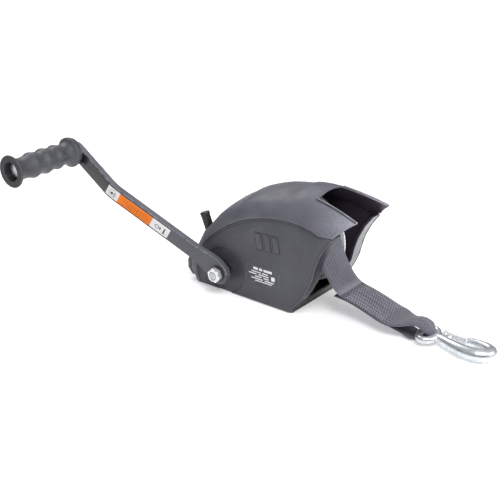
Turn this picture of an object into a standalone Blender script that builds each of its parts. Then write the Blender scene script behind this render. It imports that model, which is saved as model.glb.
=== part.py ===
"""Boat trailer winch: covered hand winch with a geared strap drum, a crank, a ratchet lever and a snap hook.

Metres, +Z up. The origin is the centre of the base plate's underside. The crank is on the -X side, and the
strap leaves towards -Y. Side outlines are written as (distance behind the base's front edge, height).
"""

from math import acos, asin, cos, degrees, hypot, pi, radians, sin, sqrt, tan

import bmesh
import bpy
from mathutils import Matrix, Vector

# Base and frame
BASE_LENGTH = 0.1535
BASE_HALF_WIDTH = 0.0502
BASE_REAR = 0.1485
PLATE = 0.004
GAP = 0.0003
LIP_HEIGHT = 0.008
SIDE_PLATE_IN = 0.0425
SIDE_PLATE_OUT = 0.046

# Covers
COVER_HALF_WIDTH = 0.054
COVER_WALL = 0.003
CHANNEL_HALF_WIDTH = 0.0345
LEG_HALF_WIDTH = 0.0485
SEAM_GAP = 0.0005
SEAM_LIP = 0.0025
SEAM_RADIUS = 0.180
SEAM_CENTRE = (0.003, -0.059)
RECESS_RADIUS = 0.031
RECESS_DEPTH = 0.0012

# Gear pair: the drum turns PINION_TEETH / GEAR_TEETH of a turn for each turn of the crank
MODULE = 0.0025
PRESSURE_ANGLE = radians(25)
PINION_TEETH = 13
GEAR_TEETH = 49
BACKLASH = 0.0003
MESH_PLAY = 0.00015
CENTRE_DISTANCE = MODULE * (PINION_TEETH + GEAR_TEETH) / 2 + MESH_PLAY
CENTRE_LINE = radians(-30.5)

# Crank
SHAFT = (0.1046, 0.0305)
SHAFT_RADIUS = 0.008
STUD_RADIUS = 0.0055
ARM_ANGLE = radians(32.5)
ARM_RADIUS = 0.245
ARM_WIDTH = 0.0206
ARM_THICKNESS = 0.0090
ARM_CHAMFER = 0.0008
ARM_HUB_RADIUS = 0.0150
ARM_INNER_X = -0.0600
ARM_OFFSET = 0.0400
ARM_BENDS = (0.020, 0.168)
ARM_BEND_OFFSET = 0.0420
ARM_BEND_REACH = 0.012
GRIP_LENGTH = 0.105
GRIP_FLANGE_RADIUS = 0.0208
GRIP_BORE_RADIUS = 0.0065
PIN_RADIUS = 0.006

# Drum
HUB_RADIUS = 0.016
FLANGE_RADIUS = 0.062
FLANGE_THICKNESS = 0.002
DRUM_HALF_WIDTH = 0.0258
WINDING_RADIUS = 0.054
AXLE_RADIUS = 0.006
GEAR_THICKNESS = 0.005

# Ratchet
RATCHET_TEETH = 12
RATCHET_TIP = 0.021
RATCHET_ROOT = 0.0172
RATCHET_X = (-0.0400, -0.0355)
PAWL_PIVOT = (0.1344, 0.0520)
LEVER_LEAN = radians(21.8)
LEVER_TOP = 0.0456
SLEEVE_RADIUS = 0.006

# Strap and hook
STRAP_WIDTH = 0.050
STRAP_THICKNESS = 0.0018
GATHERED_HALF_WIDTH = 0.0080
LOOP_BAR = (-0.0100, -0.1570, 0.0090)
EYE_WIRE = 0.0045


def front(y):
    """Y of a point that lies y behind the base's front edge."""
    return y - BASE_LENGTH / 2


def place(outline):
    """A side outline, moved from the base's front edge to the model's frame."""
    return [(front(y), z) for y, z in outline]


DRUM = (SHAFT[0] - CENTRE_DISTANCE * cos(CENTRE_LINE), SHAFT[1] - CENTRE_DISTANCE * sin(CENTRE_LINE))


# ---------------------------------------------------------------- scene and materials


def clear_scene():
    for obj in list(bpy.data.objects):
        bpy.data.objects.remove(obj, do_unlink=True)


def material(name, colour, roughness, metallic=0.0):
    mat = bpy.data.materials.get(name)
    if mat is None:
        mat = bpy.data.materials.new(name)
        mat.use_nodes = True
        shader = mat.node_tree.nodes["Principled BSDF"]
        shader.inputs["Base Color"].default_value = (*colour, 1)
        shader.inputs["Roughness"].default_value = roughness
        shader.inputs["Metallic"].default_value = metallic
        mat.diffuse_color = (*colour, 1)
    return mat


def cover_plastic():
    return material("cover_plastic", (0.100, 0.102, 0.115), 0.55)


def black_steel():
    return material("black_steel", (0.012, 0.012, 0.013), 0.45, 0.3)


def grey_steel():
    return material("grey_steel", (0.085, 0.09, 0.10), 0.42, 0.4)


def zinc():
    return material("zinc_plate", (0.72, 0.76, 0.79), 0.24, 1.0)


def bare_steel():
    return material("machined_steel", (0.42, 0.42, 0.43), 0.35, 1.0)


def nylon():
    return material("nylon", (0.75, 0.74, 0.68), 0.5)


def grip_rubber():
    return material("grip_rubber", (0.060, 0.060, 0.066), 0.7)


def lever_plastic():
    return material("lever_plastic", (0.014, 0.014, 0.015), 0.5)


def webbing():
    return material("webbing", (0.105, 0.098, 0.125), 0.85)


def label_vinyl():
    return material("label_vinyl", (0.9, 0.30, 0.02), 0.5)


# ---------------------------------------------------------------- mesh helpers


def add_object(name, mesh_data, mat, parent=None):
    mesh = bpy.data.meshes.new(name)
    mesh_data.to_mesh(mesh)
    mesh_data.free()
    obj = bpy.data.objects.new(name, mesh)
    bpy.context.collection.objects.link(obj)
    obj.parent = parent
    if mat is not None:
        mesh.materials.append(mat)
    return obj


def finish_round(obj, angle=35):
    obj.data.shade_smooth()
    obj.data.set_sharp_from_angle(angle=radians(angle))
    return obj


def cutter(name, mesh_data, parent=None):
    obj = add_object(name, mesh_data, None, parent)
    obj.hide_render = True
    obj.display_type = "WIRE"
    return obj


def boolean(obj, tool, operation="DIFFERENCE"):
    modifier = obj.modifiers.new(f"{operation.lower()} {tool.name}", "BOOLEAN")
    modifier.operation = operation
    modifier.solver = "EXACT"
    modifier.object = tool


def outline_prism(outline, x0, x1):
    """A side outline of (y, z) points, extruded along X."""
    bm = bmesh.new()
    low = [bm.verts.new((x0, y, z)) for y, z in outline]
    high = [bm.verts.new((x1, y, z)) for y, z in outline]
    bm.faces.new(low)
    bm.faces.new(list(reversed(high)))
    count = len(outline)
    for i in range(count):
        j = (i + 1) % count
        bm.faces.new((low[j], low[i], high[i], high[j]))
    bmesh.ops.recalc_face_normals(bm, faces=bm.faces)
    return bm


def box(low, high):
    outline = [(low[1], low[2]), (high[1], low[2]), (high[1], high[2]), (low[1], high[2])]
    return outline_prism(outline, low[0], high[0])


def turned(profile, centre=(0.0, 0.0), segments=32):
    """A (x, radius) profile turned about a line along X. A closed profile off the axis makes a ring."""
    bm = bmesh.new()
    rings = []
    for x, radius in profile:
        if radius < 1e-7:
            rings.append([bm.verts.new((x, centre[0], centre[1]))])
            continue
        ring = []
        for k in range(segments):
            angle = 2 * pi * k / segments
            ring.append(bm.verts.new((x, centre[0] + radius * cos(angle), centre[1] + radius * sin(angle))))
        rings.append(ring)
    closed = len(rings[0]) > 1
    for i in range(len(rings) if closed else len(rings) - 1):
        a = rings[i]
        b = rings[(i + 1) % len(rings)]
        for k in range(segments):
            m = (k + 1) % segments
            if len(a) == 1:
                bm.faces.new((a[0], b[k], b[m]))
            elif len(b) == 1:
                bm.faces.new((a[k], a[m], b[0]))
            else:
                bm.faces.new((a[k], a[m], b[m], b[k]))
    bmesh.ops.recalc_face_normals(bm, faces=bm.faces)
    return bm


def ring_x(x0, x1, inner, outer, centre=(0.0, 0.0), segments=32, chamfer=0.0):
    c = chamfer
    profile = [(x0, inner), (x0, outer - c), (x0 + c, outer), (x1 - c, outer), (x1, outer - c), (x1, inner)]
    if c == 0:
        profile = [(x0, inner), (x0, outer), (x1, outer), (x1, inner)]
    return turned(profile, centre, segments)


def rod_x(x0, x1, radius, centre=(0.0, 0.0), segments=24, chamfer=0.0):
    c = chamfer
    profile = [(x0, 0), (x0, radius - c), (x0 + c, radius), (x1 - c, radius), (x1, radius - c), (x1, 0)]
    if c == 0:
        profile = [(x0, 0), (x0, radius), (x1, radius), (x1, 0)]
    return turned(profile, centre, segments)


def arc(centre, radius, start, end, count):
    """Points on an arc, angles in degrees, ends included."""
    points = []
    for k in range(count):
        angle = radians(start + (end - start) * k / (count - 1))
        points.append((centre[0] + radius * cos(angle), centre[1] + radius * sin(angle)))
    return points


def smooth_curve(points, steps):
    """A Catmull-Rom curve through the points, with the given steps between each two."""
    vectors = [Vector(p) for p in points]
    ends = [2 * vectors[0] - vectors[1]] + vectors + [2 * vectors[-1] - vectors[-2]]
    result = []
    for i in range(1, len(ends) - 2):
        a, b, c, d = ends[i - 1:i + 3]
        for k in range(steps):
            t = k / steps
            result.append(0.5 * (2 * b + (c - a) * t + (2 * a - 5 * b + 4 * c - d) * t * t
                                 + (3 * b - a - 3 * c + d) * t ** 3))
    result.append(ends[-2])
    return result


def tube(points, radii, segments):
    """A round rod swept along the points, with a radius for each of them."""
    bm = bmesh.new()
    rings = []
    side = None
    for i, point in enumerate(points):
        along = (points[min(i + 1, len(points) - 1)] - points[max(i - 1, 0)]).normalized()
        if side is None:
            side = along.orthogonal()
        side = (side - along * side.dot(along)).normalized()
        other = along.cross(side)
        ring = []
        for k in range(segments):
            angle = 2 * pi * k / segments
            ring.append(bm.verts.new(point + (side * cos(angle) + other * sin(angle)) * radii[i]))
        rings.append(ring)
    for a, b in zip(rings, rings[1:]):
        for k in range(segments):
            m = (k + 1) % segments
            bm.faces.new((a[k], a[m], b[m], b[k]))
    bm.faces.new(rings[0])
    bm.faces.new(list(reversed(rings[-1])))
    bmesh.ops.recalc_face_normals(bm, faces=bm.faces)
    return bm


def axis_empty(name, position, rotation=(0, 0, 0), parent=None):
    empty = bpy.data.objects.new(name, None)
    bpy.context.collection.objects.link(empty)
    empty.location = position
    empty.rotation_euler = rotation
    empty.parent = parent
    return empty


# ---------------------------------------------------------------- base and side plates

MOUNTING_HOLES = ((0.0, 0.024), (-0.024, 0.128), (0.024, 0.128))
MOUNTING_HOLE_RADIUS = 0.0055


def base_plate():
    lip = [(0.0, 0.0), (BASE_REAR, 0.0), (BASE_REAR, PLATE), (PLATE, PLATE), (PLATE, LIP_HEIGHT)]
    lip += arc((0.002, LIP_HEIGHT - 0.002), 0.002, 90, 180, 4)
    obj = add_object("base_plate", outline_prism(place(lip), -BASE_HALF_WIDTH, BASE_HALF_WIDTH),
                     black_steel())
    for index, (x, y) in enumerate(MOUNTING_HOLES):
        hole = rod_x(-0.010, 0.010, MOUNTING_HOLE_RADIUS)
        bmesh.ops.rotate(hole, matrix=Matrix.Rotation(pi / 2, 3, "Y"), verts=hole.verts)
        bmesh.ops.translate(hole, vec=(x, front(y), 0.002), verts=hole.verts)
        boolean(obj, cutter(f"mounting_hole_{index}", hole))
    for index, (x, y) in enumerate(cover_screw_places()):
        boolean(obj, cutter(f"screw_seat_{index}", cover_screw_shape(x, y, 0.0003, below=0.002)))
    return obj


def cover_screw_places():
    return [(side * 0.0481, y) for side in (-1, 1) for y in (0.020, 0.135)]


def cover_screw_shape(x, y, clearance, below=0.0):
    """A countersunk screw that stands up through the base plate; below lengthens its head downwards."""
    head = 0.0019 + clearance
    shank = 0.0010 + clearance
    profile = [(-below, 0), (-below, head), (0.0004, head), (0.0014, shank), (0.012 + clearance, shank)]
    profile += [(0.0125 + clearance, 0)]
    bm = turned(profile, segments=12)
    bmesh.ops.rotate(bm, matrix=Matrix.Rotation(-pi / 2, 3, "Y"), verts=bm.verts)
    bmesh.ops.translate(bm, vec=(x, front(y), 0.0), verts=bm.verts)
    return bm


def cover_screws():
    for index, (x, y) in enumerate(cover_screw_places()):
        screw = cover_screw_shape(x, y, 0.0)
        bmesh.ops.translate(screw, vec=(0, 0, 0.0002), verts=screw.verts)
        finish_round(add_object(f"cover_screw_{index}", screw, zinc()))


SIDE_PLATE = [(0.006, PLATE + GAP), (0.167, PLATE + GAP), (0.1745, 0.012), (0.1745, 0.024), (0.166, 0.040),
              (0.147, 0.060), (0.134, 0.066), (0.118, 0.076), (0.084, 0.088), (0.056, 0.096), (0.040, 0.098),
              (0.026, 0.095), (0.006, 0.078), (-0.008, 0.060), (-0.006, 0.044), (0.004, 0.026)]


def side_plate(name, side):
    x0, x1 = sorted((side * SIDE_PLATE_IN, side * SIDE_PLATE_OUT))
    obj = add_object(name, outline_prism(place(SIDE_PLATE), x0, x1), black_steel())
    holes = [("axle", DRUM, AXLE_RADIUS + GAP), ("shaft", SHAFT, 0.0108), ("tie", TIE, TIE_RADIUS + GAP)]
    if side < 0:
        holes.append(("pawl", PAWL_PIVOT, PAWL_PIN_RADIUS + GAP))
    for label, centre, radius in holes:
        hole = rod_x(x0 - 0.002, x1 + 0.002, radius, (front(centre[0]), centre[1]))
        boolean(obj, cutter(f"{name}_{label}_hole", hole))
    return obj


TIE = (0.1120, 0.0660)
TIE_RADIUS = 0.0035
PAWL_PIN_RADIUS = 0.004


def tie_bar():
    """A bar that spaces the side plates, with a riveted end at each side."""
    shoulder = SIDE_PLATE_IN - GAP
    end = SIDE_PLATE_OUT + GAP
    profile = [(-end - 0.002, 0), (-end - 0.002, 0.004), (-end, 0.0055), (-end, TIE_RADIUS)]
    profile += [(-shoulder, TIE_RADIUS), (-shoulder, 0.006)]
    profile += [(-x, r) for x, r in reversed(profile)]
    bm = turned(profile, (front(TIE[0]), TIE[1]), 20)
    return finish_round(add_object("tie_bar", bm, bare_steel()))


# ---------------------------------------------------------------- covers

# Rows across the hood, front to rear. A row runs from the seam (at COVER_HALF_WIDTH) over the shoulder to the
# crease and, where the hood is closed, on to the crown on the centre line. In the legs it turns the outer
# corner instead.
SEAM_FRONT = [(-0.0575, 0.1150), (-0.0460, 0.1139), (-0.0370, 0.1133), (-0.0280, 0.1172)]
SEAM_ARC_STARTS = [-0.014, 0.002, 0.0155, 0.0195, 0.034, 0.052, 0.068, 0.079, 0.083, 0.099, 0.115, 0.131]
SEAM_REAR = [(0.1400, 0.0570), (0.1460, 0.0450), (0.1500, 0.0340), (0.1520, 0.0240), (0.1505, 0.0120),
             (0.1455, 0.0008)]
CREASE = [(0.0355, -0.0788, 0.1354), (0.0335, -0.0630, 0.1402), (0.0312, -0.0480, 0.1437),
          (0.0292, -0.0320, 0.1468), (0.0276, -0.0169, 0.1490), (0.0280, -0.0010, 0.1485),
          (0.0290, 0.0140, 0.1468), (0.0350, 0.0190, 0.1415), (0.0360, 0.0340, 0.1397),
          (0.0370, 0.0540, 0.1360), (0.0380, 0.0720, 0.1305), (0.0385, 0.0850, 0.1255),
          (0.0430, 0.0900, 0.1185), (0.0435, 0.1030, 0.1130), (0.0440, 0.1180, 0.1020), (0.0445, 0.1315,
                                                                                         0.0865)]
CROWN = [(-0.0169, 0.1537), (-0.0010, 0.1535), (0.0140, 0.1520), (0.0180, 0.1496), (0.0340, 0.1470),
         (0.0540, 0.1425), (0.0720, 0.1366), (0.0850, 0.1312), (0.0890, 0.1278), (0.1030, 0.1200),
         (0.1200, 0.1075), (0.1350, 0.0930)]
LEG_CORNER = [(0.1390, 0.0745), (0.1488, 0.0557), (0.1560, 0.0410), (0.1620, 0.0280), (0.1618, 0.0150),
              (0.1535, 0.0008)]
LEG_RETURN = 0.0025
SHOULDER_BULGE = 0.0022
SHOULDER_STEPS = 5
CROWN_STEPS = 3


def seam_height(y):
    return SEAM_CENTRE[1] + sqrt(SEAM_RADIUS ** 2 - (y - SEAM_CENTRE[0]) ** 2)


def seam_points():
    return SEAM_FRONT + [(y, seam_height(y)) for y in SEAM_ARC_STARTS] + SEAM_REAR


def bent(a, b, c, steps):
    """Points from a to c on a quadratic curve that is pulled towards b."""
    points = []
    for k in range(steps + 1):
        t = k / steps
        points.append(a * (1 - t) ** 2 + b * (2 * t * (1 - t)) + c * t ** 2)
    return points


def hood_rows():
    """One list of points per row, seam to crease, and one per closed row, crease to crown, both on +X."""
    shoulders = []
    crowns = []
    for index, (y, z) in enumerate(seam_points()):
        a = Vector((COVER_HALF_WIDTH, front(y), z))
        if index < len(CREASE):
            x, yc, zc = CREASE[index]
            c = Vector((x, front(yc), zc))
            rise = Vector((0, y - SEAM_CENTRE[0], z - SEAM_CENTRE[1])).normalized()
            lip = a + rise * SEAM_LIP
            out = Vector((c.z - lip.z, 0, lip.x - c.x)).normalized()
            b = (lip + c) / 2 + out * SHOULDER_BULGE * 2
            shoulders.append([a] + bent(lip, b, c, SHOULDER_STEPS - 1))
        else:
            yl, zl = LEG_CORNER[index - len(CREASE)]
            b = Vector((COVER_HALF_WIDTH, front(yl), zl))
            c = Vector((LEG_HALF_WIDTH, front(yl) + LEG_RETURN, zl))
            shoulders.append(bent(a, b, c, SHOULDER_STEPS))
        crown = index - (len(CREASE) - len(CROWN))
        if 0 <= crown < len(CROWN):
            yt, zt = CROWN[crown]
            top = Vector((0, front(yt), zt))
            middle = Vector((c.x * 0.5, (c.y + top.y) / 2, zt + 0.0002))
            crowns.append(bent(c, middle, top, CROWN_STEPS))
    return shoulders, crowns


def hood_cover():
    shoulders, crowns = hood_rows()
    bm = bmesh.new()
    first = len(shoulders) - len(SEAM_REAR) - len(CROWN)
    centre = [bm.verts.new(row[-1]) for row in crowns]
    for side in (1, -1):
        grid = []
        for row in shoulders:
            grid.append([bm.verts.new((side * p.x, p.y, p.z)) for p in row])
        top = []
        for index, row in enumerate(crowns):
            line = [grid[first + index][-1]]
            line += [bm.verts.new((side * p.x, p.y, p.z)) for p in row[1:-1]]
            top.append(line + [centre[index]])
        for rows in (grid, top):
            for a, b in zip(rows, rows[1:]):
                for k in range(len(a) - 1):
                    bm.faces.new((a[k], a[k + 1], b[k + 1], b[k]))
    bmesh.ops.recalc_face_normals(bm, faces=bm.faces)
    highest = max(bm.faces, key=lambda face: face.calc_center_median().z)
    if highest.normal.z < 0:
        bmesh.ops.reverse_faces(bm, faces=bm.faces)
    obj = add_object("hood_cover", bm, cover_plastic())
    solid = obj.modifiers.new("wall", "SOLIDIFY")
    solid.thickness = COVER_WALL
    solid.offset = -1
    return finish_round(obj, 30)


FRONT_EDGE = [(0.0000, 0.0085), (-0.0110, 0.0185), (-0.0200, 0.0330), (-0.0290, 0.0510), (-0.0320, 0.0650),
              (-0.0370, 0.0810), (-0.0466, 0.1000), (-0.0572, 0.1142)]


def cover_outline(setback=0.0):
    """The side cover's outline: up the front edge, back along the seam, down the rear and along the base."""
    seam = seam_points()[1:]
    top = []
    for i, (y, z) in enumerate(seam):
        before = seam[max(i - 1, 0)]
        after = seam[min(i + 1, len(seam) - 1)]
        length = hypot(after[0] - before[0], after[1] - before[1])
        along = ((after[0] - before[0]) / length, (after[1] - before[1]) / length)
        top.append((y + SEAM_GAP * along[1], z - SEAM_GAP * along[0]))
    return [(y + setback, z) for y, z in [(0.0, 0.0008)] + FRONT_EDGE] + top


def lofted(sections):
    """Outlines of (y, z) points at rising or falling X, skinned in order and capped."""
    bm = bmesh.new()
    rows = [[bm.verts.new((x, y, z)) for y, z in outline] for x, outline in sections]
    for a, b in zip(rows, rows[1:]):
        for k in range(len(a)):
            m = (k + 1) % len(a)
            bm.faces.new((a[k], a[m], b[m], b[k]))
    bm.faces.new(rows[0])
    bm.faces.new(list(reversed(rows[-1])))
    bmesh.ops.recalc_face_normals(bm, faces=bm.faces)
    return bm


def side_cover(name, side):
    """A flat side with a front wall that turns in towards the strap channel, and bosses for its screws."""
    face = COVER_HALF_WIDTH - 0.0005
    sections = [(CHANNEL_HALF_WIDTH, 0.0), (face - 0.0040, 0.0), (face - 0.0020, 0.0005),
                (face - 0.0006, 0.0020)]
    sections += [(face, 0.0045)]
    block = lofted([(side * x, place(cover_outline(setback))) for x, setback in sections])
    obj = add_object(name, block, cover_plastic())
    front_wall = COVER_WALL * 1.15
    inside = [(-0.001 + front_wall, -0.010)] + [(y + front_wall, z) for y, z in FRONT_EDGE]
    inside += [(-0.060, 0.160), (0.190, 0.160), (0.190, -0.010)]
    x0, x1 = sorted((side * (CHANNEL_HALF_WIDTH - 0.004), side * (face - COVER_WALL)))
    boolean(obj, cutter(f"{name}_hollow", outline_prism(place(inside), x0, x1)))
    x0, x1 = sorted((side * (CHANNEL_HALF_WIDTH - 0.004), side * (face - COVER_WALL + 0.0002)))
    lip_slot = box((x0, front(-0.002), -0.002), (x1, front(PLATE + 0.0005), LIP_HEIGHT + GAP))
    boolean(obj, cutter(f"{name}_lip_slot", lip_slot))
    for index, (sx, sy) in enumerate(p for p in cover_screw_places() if p[0] * side > 0):
        ends = sorted((sx - side * 0.0018, sx + side * 0.0034))
        low = (ends[0], front(sy) - 0.005, PLATE + GAP)
        high = (ends[1], front(sy) + 0.005, 0.020)
        boss = cutter(f"{name}_boss_{index}", box(low, high))
        boolean(obj, boss, "UNION")
        pilot = cutter(f"{name}_pilot_{index}", cover_screw_shape(sx, sy, 0.0003, below=0.002))
        boolean(obj, pilot)
    recess = rod_x(side * (COVER_HALF_WIDTH - 0.0005 - RECESS_DEPTH), side * (COVER_HALF_WIDTH + 0.002),
                   RECESS_RADIUS, (front(SHAFT[0]), SHAFT[1]), 48)
    bmesh.ops.recalc_face_normals(recess, faces=recess.faces)
    trim = cutter(f"{name}_recess", recess)
    boolean(obj, trim)
    if side < 0:
        hole = rod_x(-COVER_HALF_WIDTH - 0.002, -0.046, SHAFT_RADIUS + 0.001, (front(SHAFT[0]), SHAFT[1]))
        boolean(obj, cutter("shaft_hole", hole))
    return finish_round(obj, 30)


# ---------------------------------------------------------------- bearings and pins


def drum_axle():
    """A shouldered pin: head outside the left plate, groove for a ring outside the right plate."""
    head = SIDE_PLATE_OUT + GAP
    ring = SIDE_PLATE_OUT + 0.0006
    profile = [(-head - 0.0035, 0), (-head - 0.0035, 0.0085), (-head - 0.0025, 0.0095), (-head, 0.0095)]
    profile += [(-head, AXLE_RADIUS), (ring - 0.0002, AXLE_RADIUS), (ring - 0.0002, 0.0046)]
    profile += [(ring + 0.0014, 0.0046), (ring + 0.0014, AXLE_RADIUS), (ring + 0.0034, AXLE_RADIUS - 0.0006)]
    profile += [(ring + 0.0034, 0)]
    bm = turned(profile, (front(DRUM[0]), DRUM[1]), 28)
    return finish_round(add_object("drum_axle", bm, zinc()))


def split_ring(x0, x1, inner, outer, opening):
    """An open retaining ring around X, its opening centred on the given angle."""
    angles = [opening + radians(32) + k * radians(296) / 20 for k in range(21)]
    outline = [(outer * cos(a), outer * sin(a)) for a in angles]
    outline += [(inner * cos(a), inner * sin(a)) for a in reversed(angles)]
    return outline_prism(outline, x0, x1)


def axle_ring():
    x = SIDE_PLATE_OUT + 0.0006
    bm = split_ring(x, x + 0.0012, 0.0049, 0.0090, radians(90))
    bmesh.ops.translate(bm, vec=(0, front(DRUM[0]), DRUM[1]), verts=bm.verts)
    return add_object("axle_retaining_ring", bm, bare_steel())


def shaft_bushing(name, side):
    """A flanged sleeve in the side plate; the flange is inside."""
    inner = SHAFT_RADIUS + GAP
    profile = [(0.0404, inner), (0.0404, 0.0130), (SIDE_PLATE_IN - GAP, 0.0130),
               (SIDE_PLATE_IN - GAP, 0.0105)]
    profile += [(SIDE_PLATE_OUT + 0.0010, 0.0105), (SIDE_PLATE_OUT + 0.0010, inner)]
    bm = turned([(side * x, r) for x, r in profile], (front(SHAFT[0]), SHAFT[1]), 28)
    return finish_round(add_object(name, bm, nylon()))


def pawl_pin():
    """A pin through the left plate only, headed outside and grooved for a clip inside."""
    head = -SIDE_PLATE_OUT - GAP
    clip = RATCHET_X[1] + 0.0009
    profile = [(head - 0.0030, 0), (head - 0.0030, 0.0060), (head, 0.0070), (head, PAWL_PIN_RADIUS)]
    profile += [(clip - 0.0002, PAWL_PIN_RADIUS), (clip - 0.0002, 0.0031), (clip + 0.0012, 0.0031)]
    profile += [(clip + 0.0012, PAWL_PIN_RADIUS), (clip + 0.0030, PAWL_PIN_RADIUS - 0.0005),
                (clip + 0.0030, 0)]
    bm = turned(profile, (front(PAWL_PIVOT[0]), PAWL_PIVOT[1]), 20)
    return finish_round(add_object("pawl_pivot_pin", bm, zinc()))


def pawl_clip():
    x = RATCHET_X[1] + 0.0009
    bm = split_ring(x, x + 0.0010, 0.0034, 0.0065, radians(0))
    bmesh.ops.translate(bm, vec=(0, front(PAWL_PIVOT[0]), PAWL_PIVOT[1]), verts=bm.verts)
    return add_object("pawl_pin_clip", bm, bare_steel())


def thrust_washer(name, side):
    """Between a drum bushing and the side plate."""
    x0, x1 = sorted((side * 0.0372, side * (SIDE_PLATE_IN - GAP)))
    return finish_round(add_object(name, ring_x(x0, x1, AXLE_RADIUS + GAP, 0.0100,
                                                (front(DRUM[0]), DRUM[1]), 24), nylon()))


# ---------------------------------------------------------------- gears


def involute(angle):
    return tan(angle) - angle


def gear_outline(teeth, addendum, first_tooth):
    """Outline of a spur gear about the origin, with a tooth centred on the angle first_tooth."""
    pitch = MODULE * teeth / 2
    base = pitch * cos(PRESSURE_ANGLE)
    tip = pitch + addendum
    root = pitch - 1.25 * MODULE
    half_pitch = (pi * MODULE / 2 - BACKLASH) / (2 * pitch)

    def half_angle(radius):
        return half_pitch + involute(PRESSURE_ANGLE) - involute(acos(min(1.0, base / radius)))

    start = max(base, root)
    radii = [root] + [start + (tip - start) * k / 3 for k in range(4)]
    halves = [half_angle(start)] + [half_angle(r) for r in radii[1:]]
    outline = []
    for tooth in range(teeth):
        middle = first_tooth + 2 * pi * tooth / teeth
        flank = [(r, middle - h) for r, h in zip(radii, halves)]
        flank += [(r, middle + h) for r, h in reversed(list(zip(radii, halves)))]
        outline += [(r * cos(a), r * sin(a)) for r, a in flank]
    return outline


def drum_gear(parent):
    x1 = -(DRUM_HALF_WIDTH + FLANGE_THICKNESS + GAP)
    outline = gear_outline(GEAR_TEETH, 0.9 * MODULE, CENTRE_LINE)
    obj = add_object("drum_gear", outline_prism(outline, x1 - GEAR_THICKNESS, x1), bare_steel(), parent)
    bore = rod_x(x1 - GEAR_THICKNESS - 0.002, x1 + 0.002, HUB_RADIUS + GAP, segments=32)
    boolean(obj, cutter("gear_bore", bore, parent))
    anchor = rod_x(x1 - GEAR_THICKNESS - 0.002, x1 + 0.002, ANCHOR_RADIUS + GAP, ANCHOR, 16)
    boolean(obj, cutter("gear_anchor_hole", anchor, parent))
    for index in range(GEAR_WINDOWS):
        middle = ring_place(RIVET_CIRCLE, index + 0.5, GEAR_WINDOWS)
        window = rod_x(x1 - GEAR_THICKNESS - 0.002, x1 + 0.002, 0.0105, middle)
        boolean(obj, cutter(f"gear_window_{index}", window, parent))
    for index in range(RIVETS):
        y, z = ring_place(RIVET_CIRCLE, index, RIVETS)
        hole = rod_x(x1 - GEAR_THICKNESS - 0.002, x1 + 0.002, RIVET_RADIUS + GAP, (y, z), 12)
        boolean(obj, cutter(f"gear_rivet_hole_{index}", hole, parent))
    return obj


GEAR_WINDOWS = 5
RIVETS = 5
RIVET_CIRCLE = 0.0385
RIVET_RADIUS = 0.0025


def ring_place(radius, index, count):
    angle = 2 * pi * index / count
    return (radius * cos(angle), radius * sin(angle))


def drum_rivets(parent):
    """Headed rivets that hold the gear to the left flange."""
    inner = -DRUM_HALF_WIDTH
    outer = -(DRUM_HALF_WIDTH + FLANGE_THICKNESS + GAP + GEAR_THICKNESS) - GAP
    for index in range(RIVETS):
        profile = [(outer - 0.0012, 0), (outer - 0.0009, 0.0030), (outer, 0.0042), (outer, RIVET_RADIUS)]
        profile += [(inner, RIVET_RADIUS), (inner, 0)]
        rivet = turned(profile, ring_place(RIVET_CIRCLE, index, RIVETS), 12)
        finish_round(add_object(f"gear_rivet_{index}", rivet, zinc(), parent))


def flange(name, side, parent):
    """A pressed disc with a rolled rim; the left one has holes for the rivets."""
    inner = side * DRUM_HALF_WIDTH
    outer = side * (DRUM_HALF_WIDTH + FLANGE_THICKNESS)
    profile = [(inner, HUB_RADIUS + GAP), (inner, FLANGE_RADIUS - 0.0008),
               (inner + side * 0.0007, FLANGE_RADIUS)]
    profile += [(outer - side * 0.0007, FLANGE_RADIUS), (outer, FLANGE_RADIUS - 0.0008),
                (outer, HUB_RADIUS + GAP)]
    obj = add_object(name, turned(profile, segments=56), zinc(), parent)
    low, high = sorted((inner - side * 0.002, outer + side * 0.002))
    if side < 0:
        for index in range(RIVETS):
            hole = rod_x(low, high, RIVET_RADIUS + GAP, ring_place(RIVET_CIRCLE, index, RIVETS), 12)
            boolean(obj, cutter(f"flange_rivet_hole_{index}", hole, parent))
    anchor = rod_x(low, high, ANCHOR_RADIUS + GAP, ANCHOR, 16)
    boolean(obj, cutter(f"{name}_anchor_hole", anchor, parent))
    return finish_round(obj)


ANCHOR = (0.0, 0.0225)
ANCHOR_RADIUS = 0.003


def drum_hub(parent):
    end = DRUM_HALF_WIDTH + FLANGE_THICKNESS + 2 * GAP + GEAR_THICKNESS
    profile = [(-end - 0.0030, 0.0090), (-end - 0.0030, HUB_RADIUS), (0.0300, HUB_RADIUS), (0.0300, 0.0090)]
    return finish_round(add_object("drum_hub", turned(profile, segments=32), bare_steel(), parent))


def drum_bushing(name, x0, x1, flange_x, parent):
    """A flanged sleeve inside the end of the hub."""
    inner = AXLE_RADIUS + GAP
    profile = [(x0, inner), (x0, 0.0087), (x1, 0.0087), (x1, 0.0130), (flange_x, 0.0130), (flange_x, inner)]
    return finish_round(add_object(name, turned(profile, segments=24), nylon(), parent))


def anchor_bolt(parent):
    """Holds the strap's inner end between the flanges."""
    right = DRUM_HALF_WIDTH + FLANGE_THICKNESS + GAP
    left = -(DRUM_HALF_WIDTH + FLANGE_THICKNESS + 2 * GAP + GEAR_THICKNESS)
    profile = [(left - 0.0030, 0), (left - 0.0030, 0.0050), (left, 0.0050), (left, ANCHOR_RADIUS)]
    profile += [(right, ANCHOR_RADIUS), (right, 0.0052), (right + 0.0024, 0.0048), (right + 0.0030, 0)]
    return finish_round(add_object("strap_anchor_bolt", turned(profile, ANCHOR, 16), zinc(), parent))


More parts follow.
